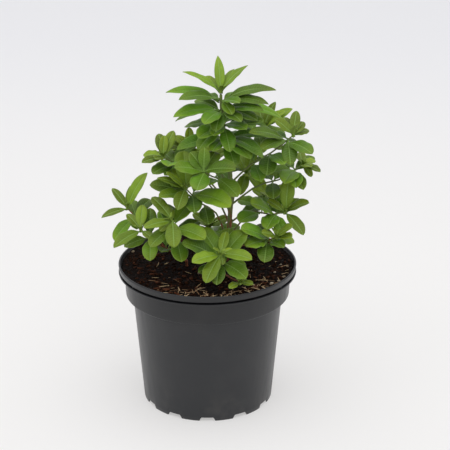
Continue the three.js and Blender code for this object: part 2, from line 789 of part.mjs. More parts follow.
// Where a leaf starts on its ring or bud: in the wall, on the side that it grows towards.
function leafBase(seat, heading, index) {
  const outward = leafDirection(THREE.MathUtils.degToRad(heading), 0);
  outward.addScaledVector(seat.tangent, -outward.dot(seat.tangent)).normalize();
  const base = seat.centre.clone().addScaledVector(outward, seat.leafRadius);
  return base.addScaledVector(seat.tangent, ((index % 3) - 1) * 0.25 * seat.height);
}

// The ring of leaf bases around a stem, still solid: the stem's bore is cut once the leaves are on.
function ringSeat(line, share) {
  const { centre, tangent, radius } = pointOnLine(line, share);
  const outer = radius + STEM_CLEARANCE + RING_WALL;
  const frame = new THREE.Quaternion().setFromUnitVectors(UP, tangent);
  const across = new THREE.Vector3(1, 0, 0).applyQuaternion(frame);
  const along = new THREE.Vector3(0, 1, 0).applyQuaternion(frame);
  const rings = [-0.5, 0.5].map((side) => (
    ringOfPoints(
      centre.clone().addScaledVector(tangent, side * RING_HEIGHT), across, along, outer, RING_SIDES,
    )
  ));
  const leafRadius = radius + STEM_CLEARANCE + RING_WALL / 2;
  return { centre, tangent, height: RING_HEIGHT, leafRadius, solid: solidOf(loft(rings)) };
}

// The bud that caps a stem's end, standing clear of it.
function budSeat(line) {
  const { centre, tangent, radius } = pointOnLine(line, 1);
  const foot = centre.clone().addScaledVector(tangent, STEM_CLEARANCE * 1.5);
  const frame = new THREE.Quaternion().setFromUnitVectors(UP, tangent);
  const across = new THREE.Vector3(1, 0, 0).applyQuaternion(frame);
  const along = new THREE.Vector3(0, 1, 0).applyQuaternion(frame);
  const rings = BUD_OUTLINE.map(([share, swell]) => {
    const middle = foot.clone().addScaledVector(tangent, share * BUD_HEIGHT);
    return ringOfPoints(middle, across, along, radius + swell, BUD_SIDES);
  });
  const tip = foot.clone().addScaledVector(tangent, BUD_HEIGHT);
  const [, [widest]] = BUD_OUTLINE;
  return {
    centre: foot.clone().addScaledVector(tangent, BUD_HEIGHT * widest),
    tangent,
    height: BUD_HEIGHT * 0.6,
    leafRadius: radius * 0.5,
    solid: solidOf(loft(rings, tip)),
  };
}

const WHORL_NAMES = ['tip', 'upper', 'middle', 'lower', 'base'];

// Every whorl's seat, in the order that its leaves are grown.
function whorlSeats(lines) {
  return SHOOTS.flatMap((shoot) => shoot.whorls.map((whorl, index) => {
    const line = lines.get(shoot.name);
    return {
      name: `${shoot.name}_${WHORL_NAMES[index]}_leaves`,
      stem: shoot.stem,
      leaves: whorl.leaves,
      age: whorl.age,
      seat: whorl.at === 1 ? budSeat(line) : ringSeat(line, whorl.at),
    };
  }));
}

// Grows one whorl's leaves clear of everything that is already there.
function growWhorl(whorl, others, stems) {
  const grown = [];
  const blades = [];
  whorl.leaves.forEach(([heading, rise, length, width], index) => {
    for (const [turn, lift, shortening] of leafTurns()) {
      const newRise = THREE.MathUtils.clamp(rise + lift, MIN_LEAF_RISE, MAX_LEAF_RISE);
      const base = leafBase(whorl.seat, heading + turn, index);
      const size = [length * shortening, width * shortening];
      const { leaf, blade } = makeLeaf(base, [heading + turn, newRise, ...size]);
      const free = isClear(leaf, others, LEAF_GAP)
        && isClear(blade, stems, LEAF_GAP)
        && isClear(blade, blades, LEAF_GAP / 2);
      if (free) {
        grown.push(leaf);
        blades.push(obstacle(blade));
        return;
      }
    }
    throw new Error(`${whorl.name} has no free place for its leaf ${index}`);
  });
  return grown;
}

function growLeaves(whorls, fixed, stems, stemCutters) {
  const seats = whorls.map(({ seat }) => obstacle(seat.solid));
  const leaves = [];
  return whorls.map((whorl, index) => {
    const others = [...fixed, ...seats.filter((_, other) => other !== index), ...leaves];
    const grown = growWhorl(whorl, others, stems);
    leaves.push(...grown.map(obstacle));
    return unionOf([whorl.seat.solid, ...grown]).subtract(stemCutters.get(whorl.stem));
  });
}

// ---------------------------------------------------------------- the whole object

function addPiece(group, name, solid, color, roughness) {
  const material = new THREE.MeshStandardMaterial({ color, roughness, metalness: 0 });
  const mesh = new THREE.Mesh(geometryOf(solid), material);
  mesh.name = name;
  group.add(mesh);
}

function buildPlantInPot() {
  const group = new THREE.Group();
  const lines = new Map();
  for (const shoot of SHOOTS) {
    lines.set(shoot.name, stemLine(shoot, lines));
  }
  const stemNames = [...new Set(SHOOTS.map(({ stem }) => stem))];
  const stemsWith = (clearance) => new Map(stemNames.map((name) => {
    const shoots = SHOOTS.filter(({ stem }) => stem === name);
    return [name, unionOf(shoots.map((shoot) => stemSolid(lines.get(shoot.name), clearance)))];
  }));
  const stems = stemsWith(0);
  const pot = makePot();
  const soil = makeSoil(lines);
  const whorls = whorlSeats(lines);
  const stemObstacles = [...stems.values()].map(obstacle);
  const fixed = [obstacle(pot), obstacle(soil)];
  const leaves = growLeaves(whorls, fixed, stemObstacles, stemsWith(STEM_CLEARANCE));

  addPiece(group, 'pot', pot, POT_BLACK, 0.42);
  addPiece(group, 'potting_soil', soil, SOIL_BROWN, 0.95);
  for (const [name, solid] of stems) {
    addPiece(group, name, solid, BARK_BROWN, 0.75);
  }
  whorls.forEach((whorl, index) => {
    const color = whorl.age === 'young' ? YOUNG_GREEN : MATURE_GREEN;
    addPiece(group, whorl.name, leaves[index], color, 0.55);
  });

  const middle = new THREE.Box3().setFromObject(group).getCenter(new THREE.Vector3());
  group.position.set(-middle.x, -middle.y, 0);
  group.updateMatrixWorld(true);
  return group;
}

export default buildPlantInPot();
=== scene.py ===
"""Potted euphorbia: the looks of a young spurge in a black nursery pot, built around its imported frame."""
import json
import math
import random

import bmesh
import bpy
import numpy as np
from bpy.props import FloatProperty, FloatVectorProperty, IntProperty, PointerProperty
from mathutils import Matrix, Vector, noise

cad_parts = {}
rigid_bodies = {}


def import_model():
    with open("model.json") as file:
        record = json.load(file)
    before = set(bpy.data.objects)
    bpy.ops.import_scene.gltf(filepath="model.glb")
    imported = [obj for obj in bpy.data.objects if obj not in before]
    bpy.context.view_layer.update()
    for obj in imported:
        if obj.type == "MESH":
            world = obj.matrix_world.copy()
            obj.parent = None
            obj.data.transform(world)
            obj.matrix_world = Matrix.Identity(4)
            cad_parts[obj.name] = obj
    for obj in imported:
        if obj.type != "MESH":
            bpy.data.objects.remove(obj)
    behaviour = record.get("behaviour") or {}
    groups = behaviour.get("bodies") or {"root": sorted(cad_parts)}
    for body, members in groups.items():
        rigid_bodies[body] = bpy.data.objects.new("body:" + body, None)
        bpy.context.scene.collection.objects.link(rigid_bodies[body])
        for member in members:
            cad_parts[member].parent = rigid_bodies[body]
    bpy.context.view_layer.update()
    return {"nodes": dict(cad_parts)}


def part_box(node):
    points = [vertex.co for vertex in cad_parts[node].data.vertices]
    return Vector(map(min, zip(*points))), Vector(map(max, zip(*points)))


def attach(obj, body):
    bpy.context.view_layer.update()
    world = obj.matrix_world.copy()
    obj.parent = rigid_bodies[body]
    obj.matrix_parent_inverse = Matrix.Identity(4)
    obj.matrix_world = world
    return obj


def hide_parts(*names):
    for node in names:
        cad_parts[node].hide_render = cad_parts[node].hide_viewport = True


for leftover in list(bpy.data.objects):
    bpy.data.objects.remove(leftover)
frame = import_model()

bl_info = {
    "name": "Potted euphorbia",
    "version": (1, 0, 0),
    "blender": (4, 5, 0),
    "location": "View3D > Sidebar > Euphorbia",
    "description": "Builds the pot, soil, stems and leaves of a potted euphorbia",
    "category": "Object",
}

MM = 0.001
STEM_NODES = ("main_stem", "left_stem", "front_stem")
LEAF_NODES = sorted(name for name in frame["nodes"] if name.endswith("_leaves"))
POT_LOW, POT_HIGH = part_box("pot")
SOIL_LOW, SOIL_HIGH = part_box("potting_soil")
POT_CENTRE = Vector(((POT_LOW.x + POT_HIGH.x) / 2, (POT_LOW.y + POT_HIGH.y) / 2, 0))
RIM_RADIUS = (POT_HIGH.x - POT_LOW.x) / 2
POT_HEIGHT = POT_HIGH.z
SOIL_RADIUS = (SOIL_HIGH.x - SOIL_LOW.x) / 2


# ------------------------------------------------------------------ sizes and colours to change


class PotSettings(bpy.types.PropertyGroup):
    """Sizes and finish of the nursery pot."""

    lip_height: FloatProperty(
        name="Lip height", description="Height of the turned-down lip",
        default=6.0 * MM, unit="LENGTH")
    lip_overhang: FloatProperty(
        name="Lip overhang", description="How far the lip stands out past the collar",
        default=5.4 * MM, unit="LENGTH")
    collar_taper: FloatProperty(
        name="Collar taper", description="How much the collar narrows downwards",
        default=1.1 * MM, unit="LENGTH")
    ledge: FloatProperty(
        name="Ledge", description="Width of the ledge under the collar",
        default=6.7 * MM, unit="LENGTH")
    body_taper: FloatProperty(
        name="Body taper", description="How much the body narrows down to the ground",
        default=9.0 * MM, unit="LENGTH")
    wall: FloatProperty(
        name="Wall", description="Thickness of the moulded wall", default=1.2 * MM, unit="LENGTH")
    foot_height: FloatProperty(
        name="Foot height", description="Height of the gaps between the feet",
        default=3.7 * MM, unit="LENGTH")
    feet: IntProperty(name="Feet", description="Number of feet", default=12)
    plastic: FloatVectorProperty(
        name="Plastic", description="Colour of the pot's plastic", subtype="COLOR", size=4,
        default=(0.0145, 0.0158, 0.0182, 1.0))
    dust: FloatVectorProperty(
        name="Dust", description="Colour of the dried soil dust on the pot", subtype="COLOR", size=4,
        default=(0.11, 0.10, 0.09, 1.0))


class SoilSettings(bpy.types.PropertyGroup):
    """The look of the potting soil and of what lies in it."""

    peat: FloatVectorProperty(
        name="Peat", description="Colour of the moist peat", subtype="COLOR", size=4,
        default=(0.0062, 0.0030, 0.0018, 1.0))
    peat_dry: FloatVectorProperty(
        name="Dry peat", description="Colour of the drier crumbs", subtype="COLOR", size=4,
        default=(0.056, 0.020, 0.009, 1.0))
    relief: FloatProperty(
        name="Relief", description="Height of the soil's lumps", default=1.5 * MM, unit="LENGTH")
    crumbs: IntProperty(name="Crumbs", description="Number of loose crumbs", default=1100)
    fibres: IntProperty(name="Fibres", description="Number of pale fibres", default=135)
    grains: IntProperty(name="Grains", description="Number of pale grit grains", default=11)
    seed: IntProperty(name="Seed", description="Which scatter of crumbs is used", default=11)


class StemSettings(bpy.types.PropertyGroup):
    """The look of the woody and green stems."""

    bark: FloatVectorProperty(
        name="Bark", description="Colour of the woody bark", subtype="COLOR", size=4,
        default=(0.30, 0.095, 0.040, 1.0))
    green: FloatVectorProperty(
        name="Green stem", description="Colour of the young stems", subtype="COLOR", size=4,
        default=(0.16, 0.225, 0.06, 1.0))
    woody_height: FloatProperty(
        name="Woody height", description="Height above the soil where bark gives way to green",
        default=78 * MM, unit="LENGTH")


class LeafSettings(bpy.types.PropertyGroup):
    """Shape and colours of the leaves."""

    thickness: FloatProperty(
        name="Thickness", description="Thickness of a leaf blade", default=0.34 * MM, unit="LENGTH")
    mature: FloatVectorProperty(
        name="Mature leaf", description="Colour of a grown leaf", subtype="COLOR", size=4,
        default=(0.078, 0.200, 0.007, 1.0))
    young: FloatVectorProperty(
        name="Young leaf", description="Colour of a young leaf", subtype="COLOR", size=4,
        default=(0.198, 0.272, 0.013, 1.0))
    midrib: FloatVectorProperty(
        name="Midrib", description="Colour of the pale midrib", subtype="COLOR", size=4,
        default=(0.27, 0.44, 0.10, 1.0))
    seed: IntProperty(
        name="Seed", description="Which set of small irregularities is used", default=5)


class StageSettings(bpy.types.PropertyGroup):
    """Floor, backdrop, light and camera."""

    paper: FloatVectorProperty(
        name="Backdrop", description="Colour of the floor and backdrop", subtype="COLOR", size=4,
        default=(0.485, 0.479, 0.473, 1.0))
    # Painted light: the floor's own glow, which lightens the shadows on it and lights the pot from below.
    glow: FloatProperty(
        name="Glow", description="How much the floor shines by itself, like a lit table", default=0.425)
    ambient: FloatProperty(
        name="Ambient", description="Strength of the light from all round", default=0.71)
    key_power: FloatProperty(
        name="Key light", description="Power of the overhead soft box", default=19.0, unit="POWER")
    view_distance: FloatProperty(
        name="View distance", description="How far in front of the pot's axis the camera stands",
        default=1.2358, unit="LENGTH")
    view_height: FloatProperty(
        name="View height", description="Height of the camera above the ground",
        default=0.6612, unit="LENGTH")
    view_side: FloatProperty(
        name="View offset", description="How far right of the pot's axis the camera stands",
        default=0.0168, unit="LENGTH")
    view_tilt: FloatProperty(
        name="View tilt", description="How far the camera looks down",
        default=math.radians(21.434), subtype="ANGLE")
    focal_length: FloatProperty(
        name="Focal length", description="Focal length of the camera in millimetres", default=112.04)


# ------------------------------------------------------------------ meshes


def new_piece(name, mesh, slot, *nodes):
    """Adds a mesh as a piece that rides on the plant's body and stands for its CAD nodes."""
    piece = bpy.data.objects.new(name, mesh)
    bpy.context.scene.collection.objects.link(piece)
    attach(piece, "root")
    if nodes:
        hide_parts(*nodes)
    return piece


def make_smooth(mesh):
    """Shades every face of a mesh smooth."""
    mesh.polygons.foreach_set("use_smooth", [True] * len(mesh.polygons))


def mesh_from(name, vertices, faces):
    """A smooth-shaded mesh from its corners, in metres, and its faces."""
    mesh = bpy.data.meshes.new(name)
    mesh.from_pydata([tuple(v) for v in vertices], [], [tuple(f) for f in faces])
    mesh.validate()
    make_smooth(mesh)
    mesh.update()
    return mesh


def ring(radius, height, columns):
    """Corners on a level circle about the vertical axis."""
    corners = []
    for column in range(columns):
        angle = 2 * math.pi * column / columns
        corners.append(Vector((radius * math.cos(angle), radius * math.sin(angle), height)))
    return corners


def ring_faces(rings, columns, end=None):
    """Faces of a turned surface: corner 0 in the middle, then rings of corners, then the end corner."""
    faces = []
    for column in range(columns):
        after = (column + 1) % columns
        faces.append((0, 1 + column, 1 + after))
        for index in range(rings - 1):
            near = 1 + index * columns
            far = near + columns
            faces.append((near + column, far + column, far + after, near + after))
        if end is not None:
            last = 1 + (rings - 1) * columns
            faces.append((last + after, last + column, end))
    return faces


def shifted(faces, start):
    """Faces whose corners are counted from a later start."""
    return [[index + start for index in face] for face in faces]


def mesh_with_modifiers(piece):
    """The piece's mesh as its modifiers leave it; the modifiers are taken off."""
    bpy.context.view_layer.update()
    graph = bpy.context.evaluated_depsgraph_get()
    mesh = bpy.data.meshes.new_from_object(piece.evaluated_get(graph))
    piece.modifiers.clear()
    piece.data = mesh
    make_smooth(mesh)
    return mesh


def write_tone(mesh, values):
    """Stores a colour for each vertex, which the materials read as what the surface is like there."""
    layer = mesh.color_attributes.new("tone", "FLOAT_COLOR", "POINT")
    layer.data.foreach_set("color", np.asarray(values, np.float32).ravel())


def finished(bm, name):
    """A mesh made from a bmesh, which is freed."""
    mesh = bpy.data.meshes.new(name)
    bm.to_mesh(mesh)
    bm.free()
    return mesh


def merged_copy(node):
    """A CAD node's mesh as a bmesh whose faces share their corners."""
    bm = bmesh.new()
    bm.from_mesh(frame["nodes"][node].data)
    bmesh.ops.remove_doubles(bm, verts=bm.verts, dist=1e-6)
    return bm


# ------------------------------------------------------------------ shader helpers


class Value:
    """A number or a colour inside a node tree; sums can be written with it."""

    def __init__(self, socket):
        self.socket = socket
        self.tree = socket.id_data

    def maths(self, operation, *others, clamp=False):
        """The result of a maths node on this value and, where it takes two, another."""
        node = add_node(self.tree, "ShaderNodeMath", self, *others,
                        operation=operation, use_clamp=clamp)
        return Value(node.outputs[0])

    def __add__(self, other):
        return self.maths("ADD", other)

    def __sub__(self, other):
        return self.maths("SUBTRACT", other)

    def __mul__(self, other):
        return self.maths("MULTIPLY", other)

    def smooth(self, low, high, from_value=0.0, to_value=1.0):
        """Runs softly from one value to another while this one runs from low to high."""
        node = add_node(self.tree, "ShaderNodeMapRange", self, low, high, from_value, to_value,
                        interpolation_type="SMOOTHSTEP")
        return Value(node.outputs["Result"])


def feed(socket, value):
    """Links a value to an input, or gives the input a plain number or colour."""
    if isinstance(value, Value):
        value.tree.links.new(value.socket, socket)
    else:
        socket.default_value = value


def add_node(tree, kind, *inputs, **properties):
    """Adds a node, sets its properties and feeds its first inputs in their order."""
    node = tree.nodes.new(kind)
    for name, value in properties.items():
        setattr(node, name, value)
    for socket, value in zip(node.inputs, inputs):
        feed(socket, value)
    return node


def new_group(name, inputs, outputs):
    """Makes a node group; gives its tree, its inputs as values, and the sockets at its end."""
    tree = bpy.data.node_groups.new(name, "ShaderNodeTree")
    for label, (kind, default) in inputs.items():
        socket = tree.interface.new_socket(
            name=label, in_out="INPUT", socket_type="NodeSocket" + kind)
        socket.default_value = default
    for label, kind in outputs.items():
        tree.interface.new_socket(name=label, in_out="OUTPUT", socket_type="NodeSocket" + kind)
    start = add_node(tree, "NodeGroupInput").outputs
    end = add_node(tree, "NodeGroupOutput").inputs
    return tree, {label: Value(start[label]) for label in inputs}, end


def add_group(tree, group, **values):
    """Puts a node group in a tree; underscores in the inputs' names stand for spaces."""
    node = add_node(tree, "ShaderNodeGroup", node_tree=group)
    for name, value in values.items():
        feed(node.inputs[name.replace("_", " ")], value)
    return {socket.name: Value(socket) for socket in node.outputs}


def mixed(factor, first, second):
    """Mixes two colours by a value."""
    node = add_node(factor.tree, "ShaderNodeMix", factor, data_type="RGBA", clamp_factor=True)
    feed(node.inputs[6], first)
    feed(node.inputs[7], second)
    return Value(node.outputs[2])


def object_place(tree):
    """The place in the object's own space, in metres."""
    return Value(add_node(tree, "ShaderNodeTexCoord").outputs["Object"])


def grain_group():
    """Noise in the object's own space, as a mask between two levels. Used by every material."""
    found = bpy.data.node_groups.get("Grain")
    if found:
        return found
    inputs = {"Scale": ("Float", 100.0), "Detail": ("Float", 4.0), "Low": ("Float", 0.35),
              "High": ("Float", 0.65), "Stretch": ("Vector", (1.0, 1.0, 1.0))}
    tree, given, end = new_group("Grain", inputs, {"Mask": "Float"})
    place = add_node(tree, "ShaderNodeVectorMath", object_place(tree), given["Stretch"],
                     operation="MULTIPLY")
    speckle = add_node(tree, "ShaderNodeTexNoise")
    feed(speckle.inputs["Vector"], Value(place.outputs[0]))
    feed(speckle.inputs["Scale"], given["Scale"])
    feed(speckle.inputs["Detail"], given["Detail"])
    mask = Value(speckle.outputs["Fac"]).smooth(given["Low"], given["High"])
    feed(end["Mask"], mask)
    return tree


def grain(tree, scale, low, high, detail, stretch=(1.0, 1.0, 1.0)):
    """A mask of noise: how fine it is, and the two levels that it runs between."""
    return add_group(
        tree, grain_group(), Scale=scale, Low=low, High=high, Detail=detail, Stretch=stretch)["Mask"]


def darkened(colour, share):
    """A colour with its light multiplied by a share."""
    return tuple(share * part for part in colour[:3]) + (1.0,)


def new_material(name, roughness, specular=0.5):
    """A material with its node tree and its shader."""
    material = bpy.data.materials.new(name)
    material.use_nodes = True
    shader = material.node_tree.nodes["Principled BSDF"]
    shader.inputs["Roughness"].default_value = roughness
    shader.inputs["Specular IOR Level"].default_value = specular
    return material, material.node_tree, shader


def add_bump(tree, shader, height, distance, strength):
    """Bumps the shader's normal by a height mask; the distance is in metres."""
    bump = add_node(tree, "ShaderNodeBump")
    feed(bump.inputs["Distance"], distance)
    feed(bump.inputs["Strength"], strength)
    feed(bump.inputs["Height"], height)
    feed(shader.inputs["Normal"], Value(bump.outputs["Normal"]))


def tone_channels(tree):
    """The three masks that write_tone stored on the mesh."""
    tone = add_node(tree, "ShaderNodeAttribute", attribute_name="tone")
    split = add_node(tree, "ShaderNodeSeparateColor", Value(tone.outputs["Color"]))
    return [Value(channel) for channel in split.outputs]


# ------------------------------------------------------------------ pot

# Millimetres, except where a name says otherwise.
GROOVE_HEIGHT = 1.7
FLANGE_THICKNESS = 1.4
COLLAR_HEIGHT = 21.8
FLOOR_UNDER = 4.0
FLOOR_TOP = 5.8
FLOOR_MIDDLE = 5.0
FOOT_ZONE = 9.0
NOTCH_HALF_DEGREES = (5.4, 7.0)
POT_COLUMNS = 360
RIB_SIZE = (4.6, 1.5)
RIB_HEADINGS = (-145, -35, 35, 145)
DRAIN_HOLES = 6
DRAIN_RADIUS = 4.5
DRAIN_CIRCLE = 44.0
# A small turn keeps the drain holes clear of the floor's own corners.
DRAIN_TURN = 0.37
# Faces of the pot that meet at more than this many degrees keep a sharp edge.
SHARP_DEGREES = 40


def arc(centre, radius, start, end, steps=4):
    """Points on an arc in the profile's plane, angles in degrees anticlockwise from outwards."""
    points = []
    for step in range(steps + 1):
        angle = math.radians(start + (end - start) * step / steps)
        points.append((centre[0] + radius * math.cos(angle), centre[1] + radius * math.sin(angle)))
    return points


def straight(start, end, steps):
    """Points that divide a line into steps, without its ends."""
    return [(start[0] + (end[0] - start[0]) * step / steps,
             start[1] + (end[1] - start[1]) * step / steps) for step in range(1, steps)]


def pot_profile(settings):
    """The wall's outline in millimetres as (radius, height): under the floor, out, up and back in."""
    rim = RIM_RADIUS / MM
    top = POT_HEIGHT / MM
    wall = settings.wall / MM
    lip_low = top - settings.lip_height / MM
    flange_top = lip_low - GROOVE_HEIGHT
    flange_low = flange_top - FLANGE_THICKNESS
    collar_low = flange_low - COLLAR_HEIGHT
    collar_top = rim - settings.lip_overhang / MM
    collar = collar_top - settings.collar_taper / MM
    body = collar - settings.ledge / MM
    base = body - settings.body_taper / MM
    inside = base - wall
    return [
        (0.0, FLOOR_UNDER),
        *straight((0.0, FLOOR_UNDER), (inside - 1.0, FLOOR_UNDER), 12),
        *arc((inside - 0.6, FLOOR_UNDER - 0.6), 0.6, 90, 0, 3),
        (inside, 2.0), (inside, 0.5),
        *arc((base - wall / 2, wall / 2), wall / 2, 200, 340, 4),
        *straight((base, 0.6), (body, collar_low - 1.6), 26),
        (body, collar_low - 1.6),
        *arc((body + 1.2, collar_low - 1.2), 1.2, 180, 90, 4),
        *straight((body + 1.4, collar_low), (collar - 1.2, collar_low), 4),
        *arc((collar - 1.0, collar_low + 1.0), 1.0, 270, 360, 5),
        *straight((collar, collar_low + 1.0), (collar_top, flange_low - 0.8), 8),
        (collar_top, flange_low - 0.8),
        *arc((collar_top + 0.8, flange_low - 0.8), 0.8, 180, 90, 3),
        (rim - 1.2, flange_low),
        *arc((rim - 0.6, flange_low + 0.6), 0.6, 270, 360, 3),
        *arc((rim - 0.6, flange_top - 0.6), 0.6, 0, 90, 3),
        (collar_top + 0.9, flange_top), (collar_top + 0.4, flange_top + 0.4),
        (collar_top + 0.4, lip_low - 0.3), (collar_top + 0.9, lip_low),
        (rim - 1.6, lip_low),
        *arc((rim - 1.2, lip_low + 0.5), 0.5, 270, 360, 3),
        *straight((rim - 0.7, lip_low + 0.5), (rim, top - 0.9), 5),
        *arc((rim - 0.9, top - 0.9), 0.9, 0, 180, 8),
        (rim - 2.0, top - 1.8), (rim - 2.6, top - 3.2),
        *straight((rim - 2.6, top - 3.2), (collar_top - wall, flange_low), 4),
        (collar_top - wall, flange_low),
        *straight((collar_top - wall, flange_low), (collar - wall, collar_low + wall + 0.8), 3),
        (collar - wall, collar_low + wall + 0.8),
        (body - wall, collar_low + wall),
        *straight((body - wall, collar_low + wall), (inside + 0.4, FLOOR_TOP), 4),
        (inside + 0.4, FLOOR_TOP),
        *straight((inside + 0.4, FLOOR_TOP), (0.0, FLOOR_TOP), 4),
        (0.0, FLOOR_TOP),
    ]


def notch_height(settings, turn):
    """How high the gap under the wall is, in millimetres, at a turn about the pot's axis in degrees."""
    pitch = 360.0 / settings.feet
    away = abs((turn + pitch / 2) % pitch - pitch / 2)
    narrow, wide = NOTCH_HALF_DEGREES
    rise = (wide - away) / (wide - narrow)
    return settings.foot_height / MM * min(1.0, max(0.0, rise))


def turned_pot(settings):
    """The wall turned about the pot's axis, with its foot lifted at each gap."""
    profile = pot_profile(settings)
    # The wall's least radius just above the floor, which tells its foot from the rest.
    foot_radius = min(radius for radius, height in profile if radius > 50 and height > 6.0)
    vertices = [Vector((0.0, 0.0, profile[0][1] * MM))]
    rows = profile[1:-1]
    for radius, height in rows:
        on_wall = height < FOOT_ZONE and radius > foot_radius - 6.0 and height != FLOOR_TOP
        outside = radius > foot_radius - 0.7
        lifted = on_wall and (height < FLOOR_UNDER - 1e-6 or outside)
        limit = FOOT_ZONE if outside else FLOOR_UNDER
        for column, corner in enumerate(ring(radius * MM, height * MM, POT_COLUMNS)):
            if lifted:
                lift = notch_height(settings, 360.0 * column / POT_COLUMNS)
                corner.z = (lift + height * (1 - lift / limit)) * MM
            vertices.append(corner)
    vertices.append(Vector((0.0, 0.0, profile[-1][1] * MM)))
    faces = ring_faces(len(rows), POT_COLUMNS, len(vertices) - 1)
    outward = [face[:1] + face[:0:-1] for face in faces]
    return mesh_from("pot_body", [corner + POT_CENTRE for corner in vertices], outward)


def groove_rib(settings, heading):
    """One small web across the groove under the lip, with eased edges."""
    top = POT_HEIGHT - settings.lip_height + 0.5 * MM
    bottom = POT_HEIGHT - settings.lip_height - 2.2 * MM
    bm = bmesh.new()
    bmesh.ops.create_cube(bm, size=1.0)
    depth, width = RIB_SIZE
    bmesh.ops.scale(bm, vec=(depth * MM, width * MM, top - bottom), verts=bm.verts)
    bmesh.ops.bevel(bm, geom=list(bm.edges), offset=0.25 * MM, segments=2, affect="EDGES")
    bmesh.ops.translate(bm, vec=(RIM_RADIUS - 3.4 * MM, 0, (top + bottom) / 2), verts=bm.verts)
    bm.transform(Matrix.Translation(POT_CENTRE) @ Matrix.Rotation(math.radians(heading), 4, "Z"))
    return bm


def drain_cutter(heading):
    """A round bar through the pot's floor at a heading."""
    bm = bmesh.new()
    radius = DRAIN_RADIUS * MM
    bmesh.ops.create_cone(
        bm, cap_ends=True, segments=32, radius1=radius, radius2=radius, depth=12 * MM)
    turn = Matrix.Rotation(math.radians(heading), 4, "Z")
    outwards = Vector((DRAIN_CIRCLE * MM, 0, FLOOR_MIDDLE * MM))
    bm.transform(Matrix.Translation(POT_CENTRE) @ turn @ Matrix.Translation(outwards))
    return bm


def pot_material(settings):
    """Matt black plastic, dusty near the ground, with painted shade that darkens it from the collar up."""
    material, tree, shader = new_material("pot_plastic", 0.36)
    streak = grain(tree, 240.0, 0.42, 0.72, 5.0, (1.0, 1.0, 0.12))
    film = grain(tree, 38.0, 0.45, 0.75, 6.0)
    height = Value(add_node(tree, "ShaderNodeSeparateXYZ", object_place(tree)).outputs["Z"])
    dusty = film * (height.smooth(0.035, 0.0) * 0.3 + 0.05)
    # Painted shade: from the collar up to the rim the plastic is darkened to a little over half its colour.
    upper = height.smooth(0.106, 0.112)
    plastic = mixed(upper, settings.plastic, darkened(settings.plastic, 0.55))
    feed(shader.inputs["Base Color"], mixed(dusty, plastic, settings.dust))
    feed(shader.inputs["Roughness"], streak * 0.07 + 0.33 + dusty * 0.5)
    fine = grain(tree, 2600.0, 0.3, 0.7, 2.0)
    wave = grain(tree, 30.0, 0.2, 0.8, 2.0, (1.0, 1.0, 0.35))
    add_bump(tree, shader, fine * 0.02 + wave * 0.35, 0.0006, 0.5)
    return material


class PLANT_OT_pot(bpy.types.Operator):
    """Builds the moulded pot with its feet, collar, flange, groove and lip."""

    bl_idname = "plant.pot"
    bl_label = "Nursery pot"

    def execute(self, context):
        settings = context.scene.plant_pot
        piece = new_piece("nursery_pot", turned_pot(settings), "pot_plastic", "pot")
        for hole in range(DRAIN_HOLES):
            cutter_mesh = finished(drain_cutter(360 / DRAIN_HOLES * hole + DRAIN_TURN), "drain_cutter")
            tool = bpy.data.objects.new("drain_cutter", cutter_mesh)
            context.scene.collection.objects.link(tool)
            cut = piece.modifiers.new("drain", "BOOLEAN")
            cut.operation = "DIFFERENCE"
            cut.object = tool
            mesh_with_modifiers(piece)
            bpy.data.objects.remove(tool)
        bm = bmesh.new()
        bm.from_mesh(piece.data)
        for heading in RIB_HEADINGS:
            rib_mesh = finished(groove_rib(settings, heading), "rib")
            bm.from_mesh(rib_mesh)
            bpy.data.meshes.remove(rib_mesh)
        bm.to_mesh(piece.data)
        bm.free()
        make_smooth(piece.data)
        piece.data.set_sharp_from_angle(angle=math.radians(SHARP_DEGREES))
        piece.data.materials.clear()
        piece.data.materials.append(pot_material(settings))
        return {"FINISHED"}


# ------------------------------------------------------------------ soil

SOIL_RINGS = 130
SOIL_COLUMNS = 420
# Below the surface: depth under the soil's top in millimetres, and the share of its radius there.
SOIL_SKIRT = ((-2.0, 0.965), (-26.0, 0.935), (-27.0, 0.82), (-80.0, 0.79), (-129.0, 0.715))
CHIPS = 260
# The most that a fibre bends, as a share of its length.
STRIP_BEND = 0.10
# Fibres and crumbs keep this far inside the soil's edge.
EDGE_MARGIN = 2.5 * MM
RED_SPECKS = (0.080, 0.022, 0.010, 1.0)
FIBRE_COLOURS = (0.15, 0.048, 0.018, 1.0), (0.95, 0.72, 0.42, 1.0)
CHIP_COLOURS = (0.022, 0.009, 0.006, 1.0), (0.13, 0.045, 0.02, 1.0)
GRIT_COLOURS = (0.26, 0.19, 0.12, 1.0), (0.55, 0.46, 0.34, 1.0)


def soil_surface_height(x, y):
    """Height of the soil's top at a place from the pot's axis, in metres."""
    relief = bpy.context.scene.plant_soil.relief
    spot = Vector((x, y, 0.0))
    lumps = noise.fractal(spot * 95, 0.9, 2.1, 4)
    ridges = noise.noise(spot * 420) * 0.3 + noise.noise(spot * 900) * 0.14
    mound = (SOIL_HIGH.z - 0.9 * MM) - 0.6 * MM * (math.hypot(x, y) / SOIL_RADIUS) ** 2
    edge = max(0.0, 1 - (SOIL_RADIUS - math.hypot(x, y)) / (6 * MM))
    return mound + relief * (0.45 * lumps + ridges) + 0.5 * MM * edge


def soil_mesh():
    """The soil's lumpy top, and the plain plug of soil under it."""
    vertices = [Vector((0.0, 0.0, soil_surface_height(0, 0)))]
    for index in range(1, SOIL_RINGS + 1):
        for corner in ring(SOIL_RADIUS * index / SOIL_RINGS, 0.0, SOIL_COLUMNS):
            corner.z = soil_surface_height(corner.x, corner.y)
            vertices.append(corner)
    for depth, share in SOIL_SKIRT:
        height = max(SOIL_LOW.z, SOIL_HIGH.z + depth * MM)
        vertices += ring(SOIL_RADIUS * share, height, SOIL_COLUMNS)
    vertices.append(Vector((0.0, 0.0, SOIL_LOW.z)))
    faces = ring_faces(SOIL_RINGS + len(SOIL_SKIRT), SOIL_COLUMNS, len(vertices) - 1)
    return mesh_from("soil_body", [corner + POT_CENTRE for corner in vertices], faces)


